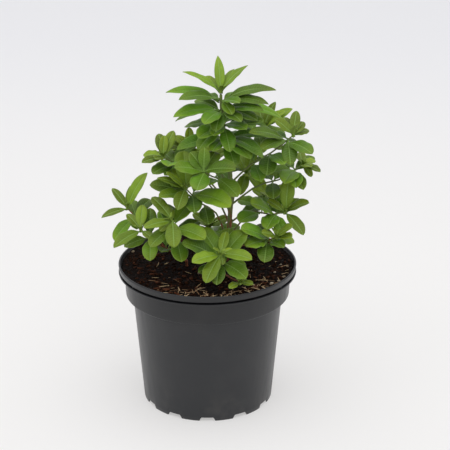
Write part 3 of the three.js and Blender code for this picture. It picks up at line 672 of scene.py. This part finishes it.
def soil_material(settings):
    """Moist peat with drier crumbs and reddish specks."""
    material, tree, shader = new_material("moist_peat", 0.85, 0.05)
    coarse = grain(tree, 150.0, 0.48, 0.70, 6.0)
    fine = grain(tree, 900.0, 0.42, 0.68, 3.0)
    reddish = grain(tree, 330.0, 0.58, 0.70, 3.0)
    colour = mixed(coarse * fine * 0.5, settings.peat, settings.peat_dry)
    feed(shader.inputs["Base Color"], mixed(reddish * 0.55, colour, RED_SPECKS))
    feed(shader.inputs["Roughness"], fine * 0.3 + 0.62)
    add_bump(tree, shader, fine * 0.5 + coarse, 0.0012, 0.8)
    return material


def random_turn(draw, tilt, axis):
    """Any turn about the vertical, after a small tilt about one axis."""
    return (Matrix.Rotation(draw.uniform(0, 2 * math.pi), 3, "Z")
            @ Matrix.Rotation(draw.uniform(-tilt, tilt), 3, axis))


def crumb(draw, size, squash):
    """One irregular crumb as (vertices, faces) about its own middle."""
    bm = bmesh.new()
    bmesh.ops.create_icosphere(bm, subdivisions=1, radius=size / 2)
    offset = Vector((draw.uniform(-9, 9), draw.uniform(-9, 9), draw.uniform(-9, 9)))
    for vertex in bm.verts:
        vertex.co *= 1 + 0.45 * noise.noise(vertex.co / size * 2.2 + offset)
    bmesh.ops.scale(bm, vec=squash, verts=bm.verts)
    bmesh.ops.rotate(bm, cent=(0, 0, 0), matrix=random_turn(draw, 0.6, "X"), verts=bm.verts)
    vertices = [v.co.copy() for v in bm.verts]
    faces = [[v.index for v in f.verts] for f in bm.faces]
    bm.free()
    return vertices, faces


def scatter_spot(draw, power=0.5):
    """A place anywhere on the soil; a lower power favours its edge."""
    radius = (SOIL_RADIUS - EDGE_MARGIN) * draw.random() ** power
    angle = draw.uniform(0, 2 * math.pi)
    return radius * math.cos(angle), radius * math.sin(angle)


def joined(name, parts):
    """One mesh from many small bodies, each with a tone of its own."""
    vertices, faces, tones = [], [], []
    for part_vertices, part_faces, tone in parts:
        faces += shifted(part_faces, len(vertices))
        vertices += part_vertices
        tones += [tone] * len(part_vertices)
    mesh = mesh_from(name, vertices, faces)
    write_tone(mesh, tones)
    return mesh


def scattered(name, seed, count, spot, size, squash, lift):
    """Crumbs strewn on the soil; spot, size and squash are drawn anew for each."""
    draw = random.Random(seed)
    parts = []
    for index in range(count):
        x, y = spot(draw, index)
        across = size(draw)
        vertices, faces = crumb(draw, across, squash(draw))
        place = Vector((x, y, soil_surface_height(x, y) + lift * across)) + POT_CENTRE
        tone = (draw.random(), draw.random(), 0.0, 1.0)
        parts.append(([corner + place for corner in vertices], faces, tone))
    return joined(name, parts)


def crumbs_mesh(settings):
    """Loose crumbs of peat, more of them towards the pot's wall."""
    return scattered(
        "soil_crumbs", settings.seed, settings.crumbs,
        spot=lambda draw, index: scatter_spot(draw, 0.42),
        size=lambda draw: (0.9 + 2.6 * draw.random() ** 2.2) * MM,
        squash=lambda draw: (draw.uniform(0.8, 1.4), draw.uniform(0.7, 1.2), draw.uniform(0.5, 0.9)),
        lift=0.1)


def chips_mesh(settings):
    """Flat chips of dark bark."""
    return scattered(
        "bark_chips", settings.seed + 2, CHIPS,
        spot=lambda draw, index: scatter_spot(draw, 0.38),
        size=lambda draw: draw.uniform(1.4, 4.2) * MM,
        squash=lambda draw: (draw.uniform(1.2, 2.2), draw.uniform(0.5, 0.9), draw.uniform(0.25, 0.5)),
        lift=0.15)


def grain_spot(draw, index):
    """Two grains in three lie near the edge, to the front right."""
    if index % 3 == 0:
        return scatter_spot(draw)
    heading = math.radians(draw.gauss(-18, 16))
    radius = SOIL_RADIUS - draw.uniform(3, 16) * MM
    return radius * math.cos(heading), radius * math.sin(heading)


def grains_mesh(settings):
    """A few pale grains of grit."""
    return scattered(
        "grit_grains", settings.seed + 3, settings.grains,
        spot=grain_spot,
        size=lambda draw: draw.uniform(1.8, 4.0) * MM,
        squash=lambda draw: (1.2, 1.0, 0.8),
        lift=0.2)


def strip(draw, length, width):
    """A splinter along X as (vertices, faces), half as thick as wide, bent sideways and up."""
    steps, sides = 6, 6
    vertices, faces = [], []
    sway = draw.uniform(-STRIP_BEND, STRIP_BEND)
    arch = draw.uniform(0.0, STRIP_BEND) * 0.5
    for step in range(steps + 1):
        t = step / steps
        taper = math.sin(math.pi * (0.08 + 0.84 * t)) ** 0.5
        bow = 2 * t * (1 - t) * length
        for side in range(sides):
            angle = 2 * math.pi * side / sides
            vertices.append(Vector((
                (t - 0.5) * length,
                sway * bow + 0.5 * width * taper * math.cos(angle),
                arch * bow + 0.25 * width * taper * math.sin(angle))))
    for step in range(steps):
        for side in range(sides):
            here = step * sides + side
            after = step * sides + (side + 1) % sides
            faces.append([here, after, after + sides, here + sides])
    faces.append(list(range(sides - 1, -1, -1)))
    faces.append(list(range(steps * sides, steps * sides + sides)))
    return vertices, faces


def laid(draw, vertices, x, y):
    """Lays a splinter on the soil at a place, turned and a little tilted."""
    turn = random_turn(draw, 0.35, "Y")
    place = Vector((x, y, soil_surface_height(x, y) + 0.35 * MM)) + POT_CENTRE
    return [turn @ v + place for v in vertices]


def fibre_spot(draw):
    """Most fibres have washed to the front edge, most of all to its right."""
    if draw.random() < 0.35:
        return scatter_spot(draw)
    heading = math.radians(draw.gauss(-72, 34))
    radius = SOIL_RADIUS - abs(draw.gauss(0, 9 * MM)) - EDGE_MARGIN
    return radius * math.cos(heading), radius * math.sin(heading)


def fibres_mesh(settings):
    """Pale splinters and fibres that lie on the soil."""
    draw = random.Random(settings.seed + 1)
    parts = []
    for _ in range(settings.fibres):
        x, y = fibre_spot(draw)
        length = (2.5 + 11 * draw.random() ** 1.8) * MM
        width = draw.uniform(0.4, 1.15) * MM
        vertices, faces = strip(draw, length, width)
        tone = (draw.random(), draw.random(), 0.0, 1.0)
        parts.append((laid(draw, vertices, x, y), faces, tone))
    return joined("soil_fibres", parts)


def debris_material(name, first, second, roughness=0.75):
    """Each crumb, splinter or grain takes a colour of its own between two, with grain over it."""
    material, tree, shader = new_material(name, roughness, 0.06)
    own = tone_channels(tree)[0]
    speckle = grain(tree, 1400.0, 0.35, 0.7, 3.0)
    feed(shader.inputs["Base Color"], mixed(own * 0.75 + speckle * 0.25, first, second))
    add_bump(tree, shader, speckle, 0.0003, 0.7)
    return material


class PLANT_OT_soil(bpy.types.Operator):
    """Builds the potting soil with its lumps and loose crumbs."""

    bl_idname = "plant.soil"
    bl_label = "Potting soil"

    def execute(self, context):
        settings = context.scene.plant_soil
        soil = new_piece("potting_soil_surface", soil_mesh(), "potting_soil", "potting_soil")
        soil.data.materials.append(soil_material(settings))
        crumbs = new_piece("soil_crumbs", crumbs_mesh(settings), "potting_soil")
        crumbs.data.materials.append(
            debris_material("peat_crumb", settings.peat, settings.peat_dry, 0.85))
        return {"FINISHED"}


class PLANT_OT_debris(bpy.types.Operator):
    """Scatters the pale fibres, bark chips and grit grains on the soil."""

    bl_idname = "plant.debris"
    bl_label = "Fibres, chips and grit"

    def execute(self, context):
        settings = context.scene.plant_soil
        debris = (
            ("soil_fibres", fibres_mesh, "pale_fibre", FIBRE_COLOURS),
            ("bark_chips", chips_mesh, "bark_chip", CHIP_COLOURS),
            ("grit_grains", grains_mesh, "grit", GRIT_COLOURS),
        )
        for name, make_mesh, material, colours in debris:
            piece = new_piece(name, make_mesh(settings), "potting_soil")
            piece.data.materials.append(debris_material(material, *colours))
        return {"FINISHED"}


# ------------------------------------------------------------------ stems

# The stems' skin is resampled in cells of this size, then relaxed into round wood.
WOOD_CELL = 0.45 * MM
GREEN_DRIFT = (0.18, 0.14, 0.05, 1.0)


def roughen(mesh, height, scale, lift):
    """Moves every corner along its normal by a little noise and a steady lift, in metres."""
    spots = [vertex.co.copy() for vertex in mesh.vertices]
    normals = [vertex.normal.copy() for vertex in mesh.vertices]
    moved = [s + n * (lift + height * noise.noise(s * scale)) for s, n in zip(spots, normals)]
    mesh.vertices.foreach_set("co", np.asarray(moved, np.float32).ravel())
    mesh.update()


def stem_tone(mesh, settings):
    """Red: how woody the stem is there. Green: a slow change along it."""
    tones = []
    for vertex in mesh.vertices:
        above = vertex.co.z - SOIL_HIGH.z
        woody = 1 - min(1.0, max(0.0, above / settings.woody_height))
        tones.append((woody, 0.5 + 0.5 * noise.noise(vertex.co * 60), 0.0, 1.0))
    write_tone(mesh, tones)


def stem_material(settings):
    """Flaking bark low down that gives way to smooth green wood."""
    material, tree, shader = new_material("stem_bark", 0.62, 0.35)
    woody, drift, _ = tone_channels(tree)
    flakes = grain(tree, 420.0, 0.38, 0.66, 5.0, (1.0, 1.0, 0.35))
    barky = (woody + (flakes - 0.5) * 0.5).smooth(0.25, 0.7)
    green = mixed(drift * 0.5, settings.green, GREEN_DRIFT)
    bark = mixed(flakes, darkened(settings.bark, 0.45), settings.bark)
    feed(shader.inputs["Base Color"], mixed(barky, green, bark))
    rings = grain(tree, 900.0, 0.4, 0.6, 2.0, (0.25, 0.25, 1.0))
    add_bump(tree, shader, flakes + rings * 0.6, 0.0002, 0.6)
    return material


class PLANT_OT_stems(bpy.types.Operator):
    """Builds the woody trunk and the branches that carry the rosettes."""

    bl_idname = "plant.stems"
    bl_label = "Stems"

    def execute(self, context):
        settings = context.scene.plant_stem
        material = stem_material(settings)
        for node in STEM_NODES:
            name = node + "_wood"
            piece = new_piece(name, finished(merged_copy(node), name), "stem_bark", node)
            skin = piece.modifiers.new("skin", "REMESH")
            skin.mode = "VOXEL"
            skin.voxel_size = WOOD_CELL
            relax = piece.modifiers.new("relax", "SMOOTH")
            relax.factor = 0.5
            relax.iterations = 5
            mesh = mesh_with_modifiers(piece)
            roughen(mesh, 0.10 * MM, 350, 0.06 * MM)
            stem_tone(mesh, settings)
            mesh.materials.append(material)
        return {"FINISHED"}


# ------------------------------------------------------------------ leaves

# Where the CAD leaf's rings of three corners lie, as shares of its length from its base to its tip.
RING_SHARES = (0.76, 0.42, 0.14)
# The CAD leaf's half width at the first two rings, as shares of the whole width.
CAD_HALF_WIDTHS = (0.36, 0.48)
# How far the CAD leaf's edges rise above its middle, as a share of the width there.
CAD_FOLD = 0.14
# Rows along a blade and columns across it.
LEAF_DETAIL = (20, 10)
BUD_DETAIL = (12, 6)
UNDERSIDE = (0.098, 0.158, 0.030, 1.0)
# The blade map's UV holds millimetres across and along a leaf as shares of these.
MAP_ACROSS = 24.0
MAP_ALONG = 60.0
# Shoots whose leaves are narrower than their CAD leaves.
WHORL_NARROWING = {"leader_tip_leaves": 0.86, "far_left_tip_leaves": 0.8}
# How much of a young leaf's colour the grown leaves keep, whorl by whorl down a shoot.
WHORL_YOUTH = {"tip": 0.25, "upper": 0.30, "middle": 0.16, "lower": 0.08, "base": 0.05}
# The top whorl of this shaded shoot has no bud and is coloured like the grown leaves.
BUDLESS_TIP = "inner_front_tip_leaves"
# Buds around a growing tip, and the turn in radians from each to the next.
BUDS = 5
BUD_TURN = 2.4
# How deep a leaf's stalk starts inside the stem, the stalk's half width, and the tip's.
ROOT_DEPTH = 1.3 * MM
STALK_HALF_WIDTH = 0.62 * MM
TIP_HALF_WIDTH = 0.06 * MM
# The stalk's share of the leaf's length.
STALK_SHARE = 0.09
# A top leaf loses its young colour over about this length.
GROWN_LENGTH = 36 * MM


def is_growing_tip(node):
    """Whether a node is the top whorl of a shoot that still grows."""
    return "_tip_" in node and node != BUDLESS_TIP


def ring_frame(points, towards):
    """Centre, upper side and width of a leaf where three CAD corners ring it."""
    a, b, c = points
    sides = [((a - b).length, a, b, c), ((b - c).length, b, c, a), ((c - a).length, c, a, b)]
    width, one, other, keel = max(sides, key=lambda side: side[0])
    middle = (one + other) / 2
    upper = (middle - keel).normalized()
    across = upper.cross(towards).normalized()
    upper = towards.normalized().cross(across).normalized()
    return middle - upper * (CAD_FOLD * width / 2), upper, width


def leaf_lines(node):
    """Each CAD leaf of a whorl as its shares, points and upper sides, tip first, and its width."""
    bm = merged_copy(node)
    leaves = []
    for tip in bm.verts:
        if len(tip.link_edges) != 3:
            continue
        seen = {tip}
        around = [edge.other_vert(tip) for edge in tip.link_edges]
        rings = []
        while len(rings) < len(RING_SHARES) and len(around) == 3:
            rings.append([v.co.copy() for v in around])
            seen.update(around)
            around = list({e.other_vert(v) for v in around for e in v.link_edges} - seen)
        if len(rings) < 2:
            continue
        middles = [sum(r, Vector()) / 3 for r in rings]
        ends = [tip.co.copy()] + middles
        frames = [ring_frame(r, ends[i] - ends[i + 1]) for i, r in enumerate(rings)]
        width = max(frames[i][2] / (2 * CAD_HALF_WIDTHS[i]) for i in range(2))
        leaves.append({
            "shares": [1.0] + list(RING_SHARES[:len(rings)]),
            "points": [tip.co.copy()] + [f[0] for f in frames],
            "upper": [frames[0][1]] + [f[1] for f in frames],
            "width": width,
        })
    bm.free()
    leaves.sort(key=lambda leaf: tuple(round(c, 5) for c in leaf["points"][0]))
    return leaves


def fitted(shares, points, degree):
    """A smooth line through points at given shares, as one polynomial for each axis."""
    return [np.polyfit(shares, [p[axis] for p in points], degree) for axis in range(3)]


def at(line, share):
    """The place on a fitted line at a share of its length."""
    return Vector([float(np.polyval(axis, share)) for axis in line])


def half_outline(t, belly, end):
    """Half width of a leaf as a share of its greatest, t from the petiole's end to the leaf's tip."""
    peak = belly / (belly + end)
    top = peak ** belly * (1 - peak) ** end
    return max(0.0, t) ** belly * max(0.0, 1 - t) ** end / top


def leaf_surface(leaf, draw, settings, detail):
    """One leaf as a thin closed skin: grooved midrib above, keel below, soft waves along its margin."""
    steps, sides = detail
    degree = len(leaf["points"]) - 1
    line = fitted(leaf["shares"], leaf["points"], degree)
    ups = fitted(leaf["shares"], leaf["upper"], min(2, degree))
    spans = [(leaf["points"][i] - leaf["points"][i + 1]).length for i in range(degree)]
    length = sum(spans) / (1 - leaf["shares"][-1])
    half = leaf["width"] / 2
    slimness = length / leaf["width"]
    belly = draw.uniform(0.64, 0.82)
    end = min(1.0, max(0.58, 0.58 + 0.17 * (slimness - 2.2))) + draw.uniform(-0.03, 0.06)
    start = -ROOT_DEPTH / length
    twist = draw.uniform(-0.16, 0.16)
    waves = draw.uniform(2.0, 3.5)
    phase = draw.uniform(0, 2 * math.pi)
    ripple = draw.uniform(0.03, 0.10)
    trough = draw.uniform(0.26, 0.42)
    bow = draw.uniform(0.10, 0.24)
    tops, bottoms, maps = [], [], []
    for step in range(steps + 1):
        share = min(1.0, start + (1 - start) * (step / steps) ** 0.94)
        point = at(line, share)
        ahead = (at(line, share + 0.01) - at(line, share - 0.01)).normalized()
        upper = at(ups, max(0.1, share))
        upper = (upper - ahead * upper.dot(ahead)).normalized()
        across = upper.cross(ahead)
        turn = Matrix.Rotation(twist * share, 3, ahead)
        upper, across = turn @ upper, turn @ across
        blade = half * half_outline((share - STALK_SHARE) / (1 - STALK_SHARE), belly, end)
        narrowing = 1.0 - 0.25 * share if share < 0.9 else (1 - share) * 7.75
        width = TIP_HALF_WIDTH if step == steps else max(STALK_HALF_WIDTH * narrowing, blade)
        stalk = max(0.0, 1 - max(0.0, share) / 0.2)
        keel = (0.34 + 0.62 * stalk + 0.35 * (1 - share)) * MM
        for side in range(sides + 1):
            q = 2 * side / sides - 1
            reach = abs(q)
            height = width * (trough * reach ** 0.75 - bow * reach ** 2.2)
            height += width * ripple * reach ** 2 * math.sin(waves * 2 * math.pi * share + phase + q)
            here = point + across * (q * width) + upper * height
            thick = settings.thickness * (1 - 0.55 * reach)
            thick += keel * math.exp(-(q * width / (0.55 * MM)) ** 2)
            tops.append(here)
            bottoms.append(here - upper * thick)
            maps.append((q * width, max(0.0, share) * length, q, max(0.0, share)))
    count = len(tops)
    faces = []
    row = sides + 1
    for step in range(steps):
        for side in range(sides):
            a = step * row + side
            faces.append([a, a + row, a + row + 1, a + 1])
            faces.append([count + a, count + a + 1, count + a + row + 1, count + a + row])
        left, right = step * row, step * row + sides
        faces.append([left, count + left, count + left + row, left + row])
        faces.append([right, right + row, count + right + row, count + right])
    for side in range(sides):
        faces.append([side, side + 1, count + side + 1, count + side])
        far = steps * row + side
        faces.append([far, count + far, count + far + 1, far + 1])
    return tops + bottoms, faces, maps, length


def bud_leaves(leaves, draw):
    """The few smallest leaves that stand closed around a shoot's growing tip."""
    bases = [at(fitted(l["shares"], l["points"], len(l["points"]) - 1), 0.02) for l in leaves]
    heart = sum(bases, Vector()) / len(bases)
    outward = sum(((l["points"][0] - b).normalized() for l, b in zip(leaves, bases)), Vector())
    axis = (outward / len(leaves) + Vector((0, 0, 0.9))).normalized()
    side = axis.orthogonal().normalized()
    small = []
    turn = draw.uniform(0, 2 * math.pi)
    for index in range(BUDS):
        turn += BUD_TURN
        out = Matrix.Rotation(turn, 3, axis) @ side
        length = (4.2 + 1.3 * index + draw.uniform(0, 1.2)) * MM
        lean = 0.16 + 0.16 * index
        base = heart - axis * 1.0 * MM + out * 0.35 * MM
        points, uppers = [], []
        for share in (1.0,) + RING_SHARES:
            way = (axis * math.cos(lean * share) + out * math.sin(lean * share + 0.05)).normalized()
            points.append(base + way * length * share)
            uppers.append((axis * math.sin(lean) - out * math.cos(lean)).normalized())
        small.append({"shares": [1.0] + list(RING_SHARES), "points": points, "upper": uppers,
                      "width": length * 0.42})
    return small


def whorl_mesh(node, draw, settings):
    """Every leaf of a whorl in one mesh, with its map in the leaf's own millimetres and its tones."""
    leaves = leaf_lines(node)
    tip = is_growing_tip(node)
    small = bud_leaves(leaves, draw) if tip else []
    vertices, faces, corners, tones = [], [], [], []
    for index, leaf in enumerate(leaves + small):
        is_bud = index >= len(leaves)
        leaf["width"] *= WHORL_NARROWING.get(node, 1.0)
        detail = BUD_DETAIL if is_bud else LEAF_DETAIL
        part, part_faces, maps, length = leaf_surface(leaf, draw, settings, detail)
        faces += shifted(part_faces, len(vertices))
        vertices += part
        corners += maps + maps
        if is_bud:
            youth = 1.0
        elif tip:
            youth = min(1.0, max(0.2, 1.22 - length / GROWN_LENGTH))
        else:
            youth = WHORL_YOUTH[node.split("_")[-2]] * draw.uniform(0.3, 1.4)
        own = draw.random()
        tones += [(youth, own, 0.0, 1.0)] * len(maps) + [(youth, own, 1.0, 1.0)] * len(maps)
    mesh = mesh_from(node + "_blades", vertices, faces)
    write_tone(mesh, tones)
    layer = mesh.uv_layers.new(name="blade")
    span = mesh.uv_layers.new(name="span")
    for loop in mesh.loops:
        across, along, q, share = corners[loop.vertex_index]
        layer.data[loop.index].uv = (0.5 + across / (MAP_ACROSS * MM), along / (MAP_ALONG * MM))
        span.data[loop.index].uv = (0.5 + 0.5 * q, share)
    return mesh


def uv_parts(tree, name):
    """A UV map of the leaf, whole, then its two parts."""
    whole = Value(add_node(tree, "ShaderNodeUVMap", uv_map=name).outputs[0])
    split = add_node(tree, "ShaderNodeSeparateXYZ", whole).outputs
    return whole, Value(split[0]), Value(split[1])


def leaf_pattern_group():
    """A leaf's colour and relief from its own map: pale midrib, side veins, a painted highlight along the
    margin, and underside.
    """
    found = bpy.data.node_groups.get("Leaf pattern")
    if found:
        return found
    inputs = {name: ("Color", (0.1, 0.2, 0.03, 1.0))
              for name in ("Blade", "Young", "Midrib", "Underside")}
    inputs["Vein Strength"] = ("Float", 0.3)
    outputs = {"Color": "Color", "Height": "Float", "Roughness": "Float"}
    tree, given, end = new_group("Leaf pattern", inputs, outputs)
    place, blade_across, blade_along = uv_parts(tree, "blade")
    _, span_across, span_along = uv_parts(tree, "span")
    across = (blade_across - 0.5).maths("ABSOLUTE") * MAP_ACROSS
    along = blade_along * MAP_ALONG
    edge = (span_across - 0.5).maths("ABSOLUTE") * 2.0
    youth, own, under = tone_channels(tree)

    midrib = across.smooth(0.62, 0.20) * along.smooth(46.0, 20.0)
    wobble = add_node(tree, "ShaderNodeTexNoise", noise_dimensions="2D")
    feed(wobble.inputs["Vector"], place)
    feed(wobble.inputs["Scale"], 14.0)
    wave = along - across.maths("POWER", 0.85) * 0.75 + Value(wobble.outputs["Fac"]) * 2.2
    vein = wave.maths("PINGPONG", 1.3).smooth(0.30, 0.02)
    vein = vein * edge.smooth(0.95, 0.35) * given["Vein Strength"]
    # Painted highlight along the margin: towards its edge the blade is mixed paler, towards the young and
    # the midrib colours.
    margin = edge.smooth(0.86, 1.0)

    mottle = grain(tree, 260.0, 0.3, 0.7, 4.0)
    shade = grain(tree, 55.0, 0.3, 0.7, 2.0)
    tip = span_along.smooth(0.6, 1.0) * 0.38
    fresh = (youth + tip).maths("ADD", margin * 0.25, clamp=True)
    light = own.smooth(0.0, 1.0, 0.68, 1.40) * (mottle * 0.14 + 0.93) * (shade * 0.22 + 0.89)
    grown = add_node(tree, "ShaderNodeVectorMath", mixed(fresh, given["Blade"], given["Young"]),
                     operation="SCALE")
    feed(grown.inputs["Scale"], light)
    stalk = along.smooth(9.0, 0.0) * 0.35
    above = mixed(stalk, Value(grown.outputs[0]), given["Midrib"])
    # The side veins and midrib are the leaf's own colour; the margin mix is painted highlight.
    for mask in (vein, margin * 0.35, midrib * 0.66):
        above = mixed(mask, above, given["Midrib"])
    below = mixed(midrib * 0.6, given["Underside"], given["Midrib"])
    below = mixed(youth * 0.5, below, given["Young"])
    feed(end["Color"], mixed(under, above, below))
    feed(end["Height"], mottle * 0.25 - vein * 0.9 - midrib * 0.8)
    feed(end["Roughness"], mottle * 0.10 + 0.42 + under * 0.18)
    return tree


def leaf_material(name, settings, youth, veins):
    """Leaf green a share of the way from grown to young, with veins of a given strength."""
    material, tree, shader = new_material(name, 0.45, 0.30)
    blade = [(1 - youth) * a + youth * b for a, b in zip(settings.mature, settings.young)]
    pattern = add_group(
        tree, leaf_pattern_group(), Blade=blade, Young=settings.young, Midrib=settings.midrib,
        Underside=UNDERSIDE, Vein_Strength=veins)
    feed(shader.inputs["Base Color"], pattern["Color"])
    feed(shader.inputs["Roughness"], pattern["Roughness"])
    add_bump(tree, shader, pattern["Height"], 0.00025, 0.8)
    return material


class PLANT_OT_leaves(bpy.types.Operator):
    """Builds every leaf of every whorl in place of its plain CAD leaf."""

    bl_idname = "plant.leaves"
    bl_label = "Leaves"

    def execute(self, context):
        settings = context.scene.plant_leaf
        materials = {
            "mature_leaves": leaf_material("mature_leaf", settings, 0.0, 0.32),
            "young_leaves": leaf_material("young_leaf", settings, 0.45, 0.25),
        }
        for node in LEAF_NODES:
            draw = random.Random(settings.seed + sum(ord(letter) for letter in node))
            slot = "young_leaves" if is_growing_tip(node) else "mature_leaves"
            mesh = whorl_mesh(node, draw, settings)
            mesh.materials.append(materials[slot])
            new_piece(node.replace("_leaves", "_blades"), mesh, slot, node)
        return {"FINISHED"}


# ------------------------------------------------------------------ stage

# Metres: the flat floor's radius, the bend's radius and the wall's height.
BOWL_FLOOR = 2.2
BOWL_BEND = 1.2
BOWL_TOP = 2.4
BOWL_STEPS = 12
BOWL_COLUMNS = 96
# Painted light: the floor's glow near the plant, and the dimmer, cooler glow painted further out.
NEAR_GLOW = (1.0, 0.985, 0.972, 1.0)
FAR_GLOW = (0.94, 0.94, 0.97, 1.0)
SKY = (0.97, 0.985, 1.0, 1.0)
KEY_PLACE = Vector((-0.1, -0.35, 1.9))
KEY_TARGET = Vector((0, 0, 0.15))
KEY_SIZE = 2.6


def bowl_mesh():
    """A round floor that curves up into a wall on every side."""
    profile = [(BOWL_FLOOR * share, 0.0) for share in (0.1, 0.3, 0.6, 1.0)]
    for step in range(1, BOWL_STEPS + 1):
        angle = math.pi / 2 * step / BOWL_STEPS
        profile.append((BOWL_FLOOR + BOWL_BEND * math.sin(angle), BOWL_BEND * (1 - math.cos(angle))))
    profile.append((BOWL_FLOOR + BOWL_BEND, BOWL_TOP))
    vertices = [Vector((0.0, 0.0, 0.0))]
    for radius, height in profile:
        vertices += ring(radius, height, BOWL_COLUMNS)
    return mesh_from("bowl", vertices, ring_faces(len(profile), BOWL_COLUMNS))


def paper_material(settings):
    """Pale paper with painted light: it glows by itself, which lightens the shadows on it, and is painted a
    little cooler and dimmer further out.
    """
    material, tree, shader = new_material("backdrop_paper", 0.9, 0.1)
    distance = add_node(tree, "ShaderNodeVectorMath", object_place(tree), operation="LENGTH")
    # Painted shade: further out the paper's colour and glow are made dimmer and cooler, as where light
    # falls off.
    far = Value(distance.outputs["Value"]).smooth(0.3, 1.6)
    soft = grain(tree, 3.0, 0.2, 0.8, 2.0)
    near_colour = mixed(soft, darkened(settings.paper, 0.985), settings.paper)
    red, green, blue, _ = settings.paper
    feed(shader.inputs["Base Color"], mixed(far, near_colour, (0.97 * red, 0.975 * green, blue, 1.0)))
    # Painted light: the paper glows, brightest near the plant.
    feed(shader.inputs["Emission Color"], mixed(far, NEAR_GLOW, FAR_GLOW))
    shader.inputs["Emission Strength"].default_value = settings.glow
    return material


def add_key_light(power):
    """A large square soft box over the plant, aimed at it."""
    light = bpy.data.lights.new("key", "AREA")
    light.shape = "SQUARE"
    light.size = KEY_SIZE
    light.energy = power
    lamp = bpy.data.objects.new("key", light)
    lamp.location = KEY_PLACE
    lamp.rotation_euler = (KEY_TARGET - KEY_PLACE).to_track_quat("-Z", "Y").to_euler()
    bpy.context.scene.collection.objects.link(lamp)


class PLANT_OT_stage(bpy.types.Operator):
    """Adds the pale floor, the soft light and the camera."""

    bl_idname = "plant.stage"
    bl_label = "Stage"

    def execute(self, context):
        scene = context.scene
        settings = scene.plant_stage
        floor = bpy.data.objects.new("backdrop", bowl_mesh())
        floor.data.materials.append(paper_material(settings))
        scene.collection.objects.link(floor)

        world = bpy.data.worlds.new("soft_room")
        world.use_nodes = True
        sky = world.node_tree.nodes["Background"]
        sky.inputs["Color"].default_value = SKY
        sky.inputs["Strength"].default_value = settings.ambient
        scene.world = world
        add_key_light(settings.key_power)

        camera = bpy.data.cameras.new("camera")
        camera.sensor_width = 36.0
        camera.lens = settings.focal_length
        eye = bpy.data.objects.new("camera", camera)
        eye.location = POT_CENTRE + Vector(
            (settings.view_side, -settings.view_distance, settings.view_height))
        eye.rotation_euler = (math.pi / 2 - settings.view_tilt, 0, 0)
        scene.collection.objects.link(eye)
        scene.camera = eye
        scene.view_settings.view_transform = "Standard"
        return {"FINISHED"}


# ------------------------------------------------------------------ add-on

OPERATORS = (
    PLANT_OT_stage, PLANT_OT_pot, PLANT_OT_soil, PLANT_OT_debris, PLANT_OT_stems, PLANT_OT_leaves)
SETTINGS = {
    "plant_pot": PotSettings,
    "plant_soil": SoilSettings,
    "plant_stem": StemSettings,
    "plant_leaf": LeafSettings,
    "plant_stage": StageSettings,
}


class PLANT_PT_panel(bpy.types.Panel):
    """Lists the steps that build the plant."""

    bl_label = "Potted euphorbia"
    bl_space_type = "VIEW_3D"
    bl_region_type = "UI"
    bl_category = "Euphorbia"

    def draw(self, context):
        for operator in OPERATORS:
            self.layout.operator(operator.bl_idname)


def register():
    """Adds the settings, the operators and the panel to Blender."""
    for settings in SETTINGS.values():
        bpy.utils.register_class(settings)
    for name, settings in SETTINGS.items():
        setattr(bpy.types.Scene, name, PointerProperty(type=settings))
    for kind in OPERATORS + (PLANT_PT_panel,):
        bpy.utils.register_class(kind)


def unregister():
    """Takes away what register adds."""
    for kind in reversed(OPERATORS + (PLANT_PT_panel,)):
        bpy.utils.unregister_class(kind)
    for name, settings in SETTINGS.items():
        delattr(bpy.types.Scene, name)
        bpy.utils.unregister_class(settings)


def main():
    """Builds everything through the operators."""
    register()
    bpy.ops.plant.stage()
    bpy.ops.plant.pot()
    bpy.ops.plant.soil()
    bpy.ops.plant.debris()
    bpy.ops.plant.stems()
    bpy.ops.plant.leaves()


if __name__ == "__main__":
    main()
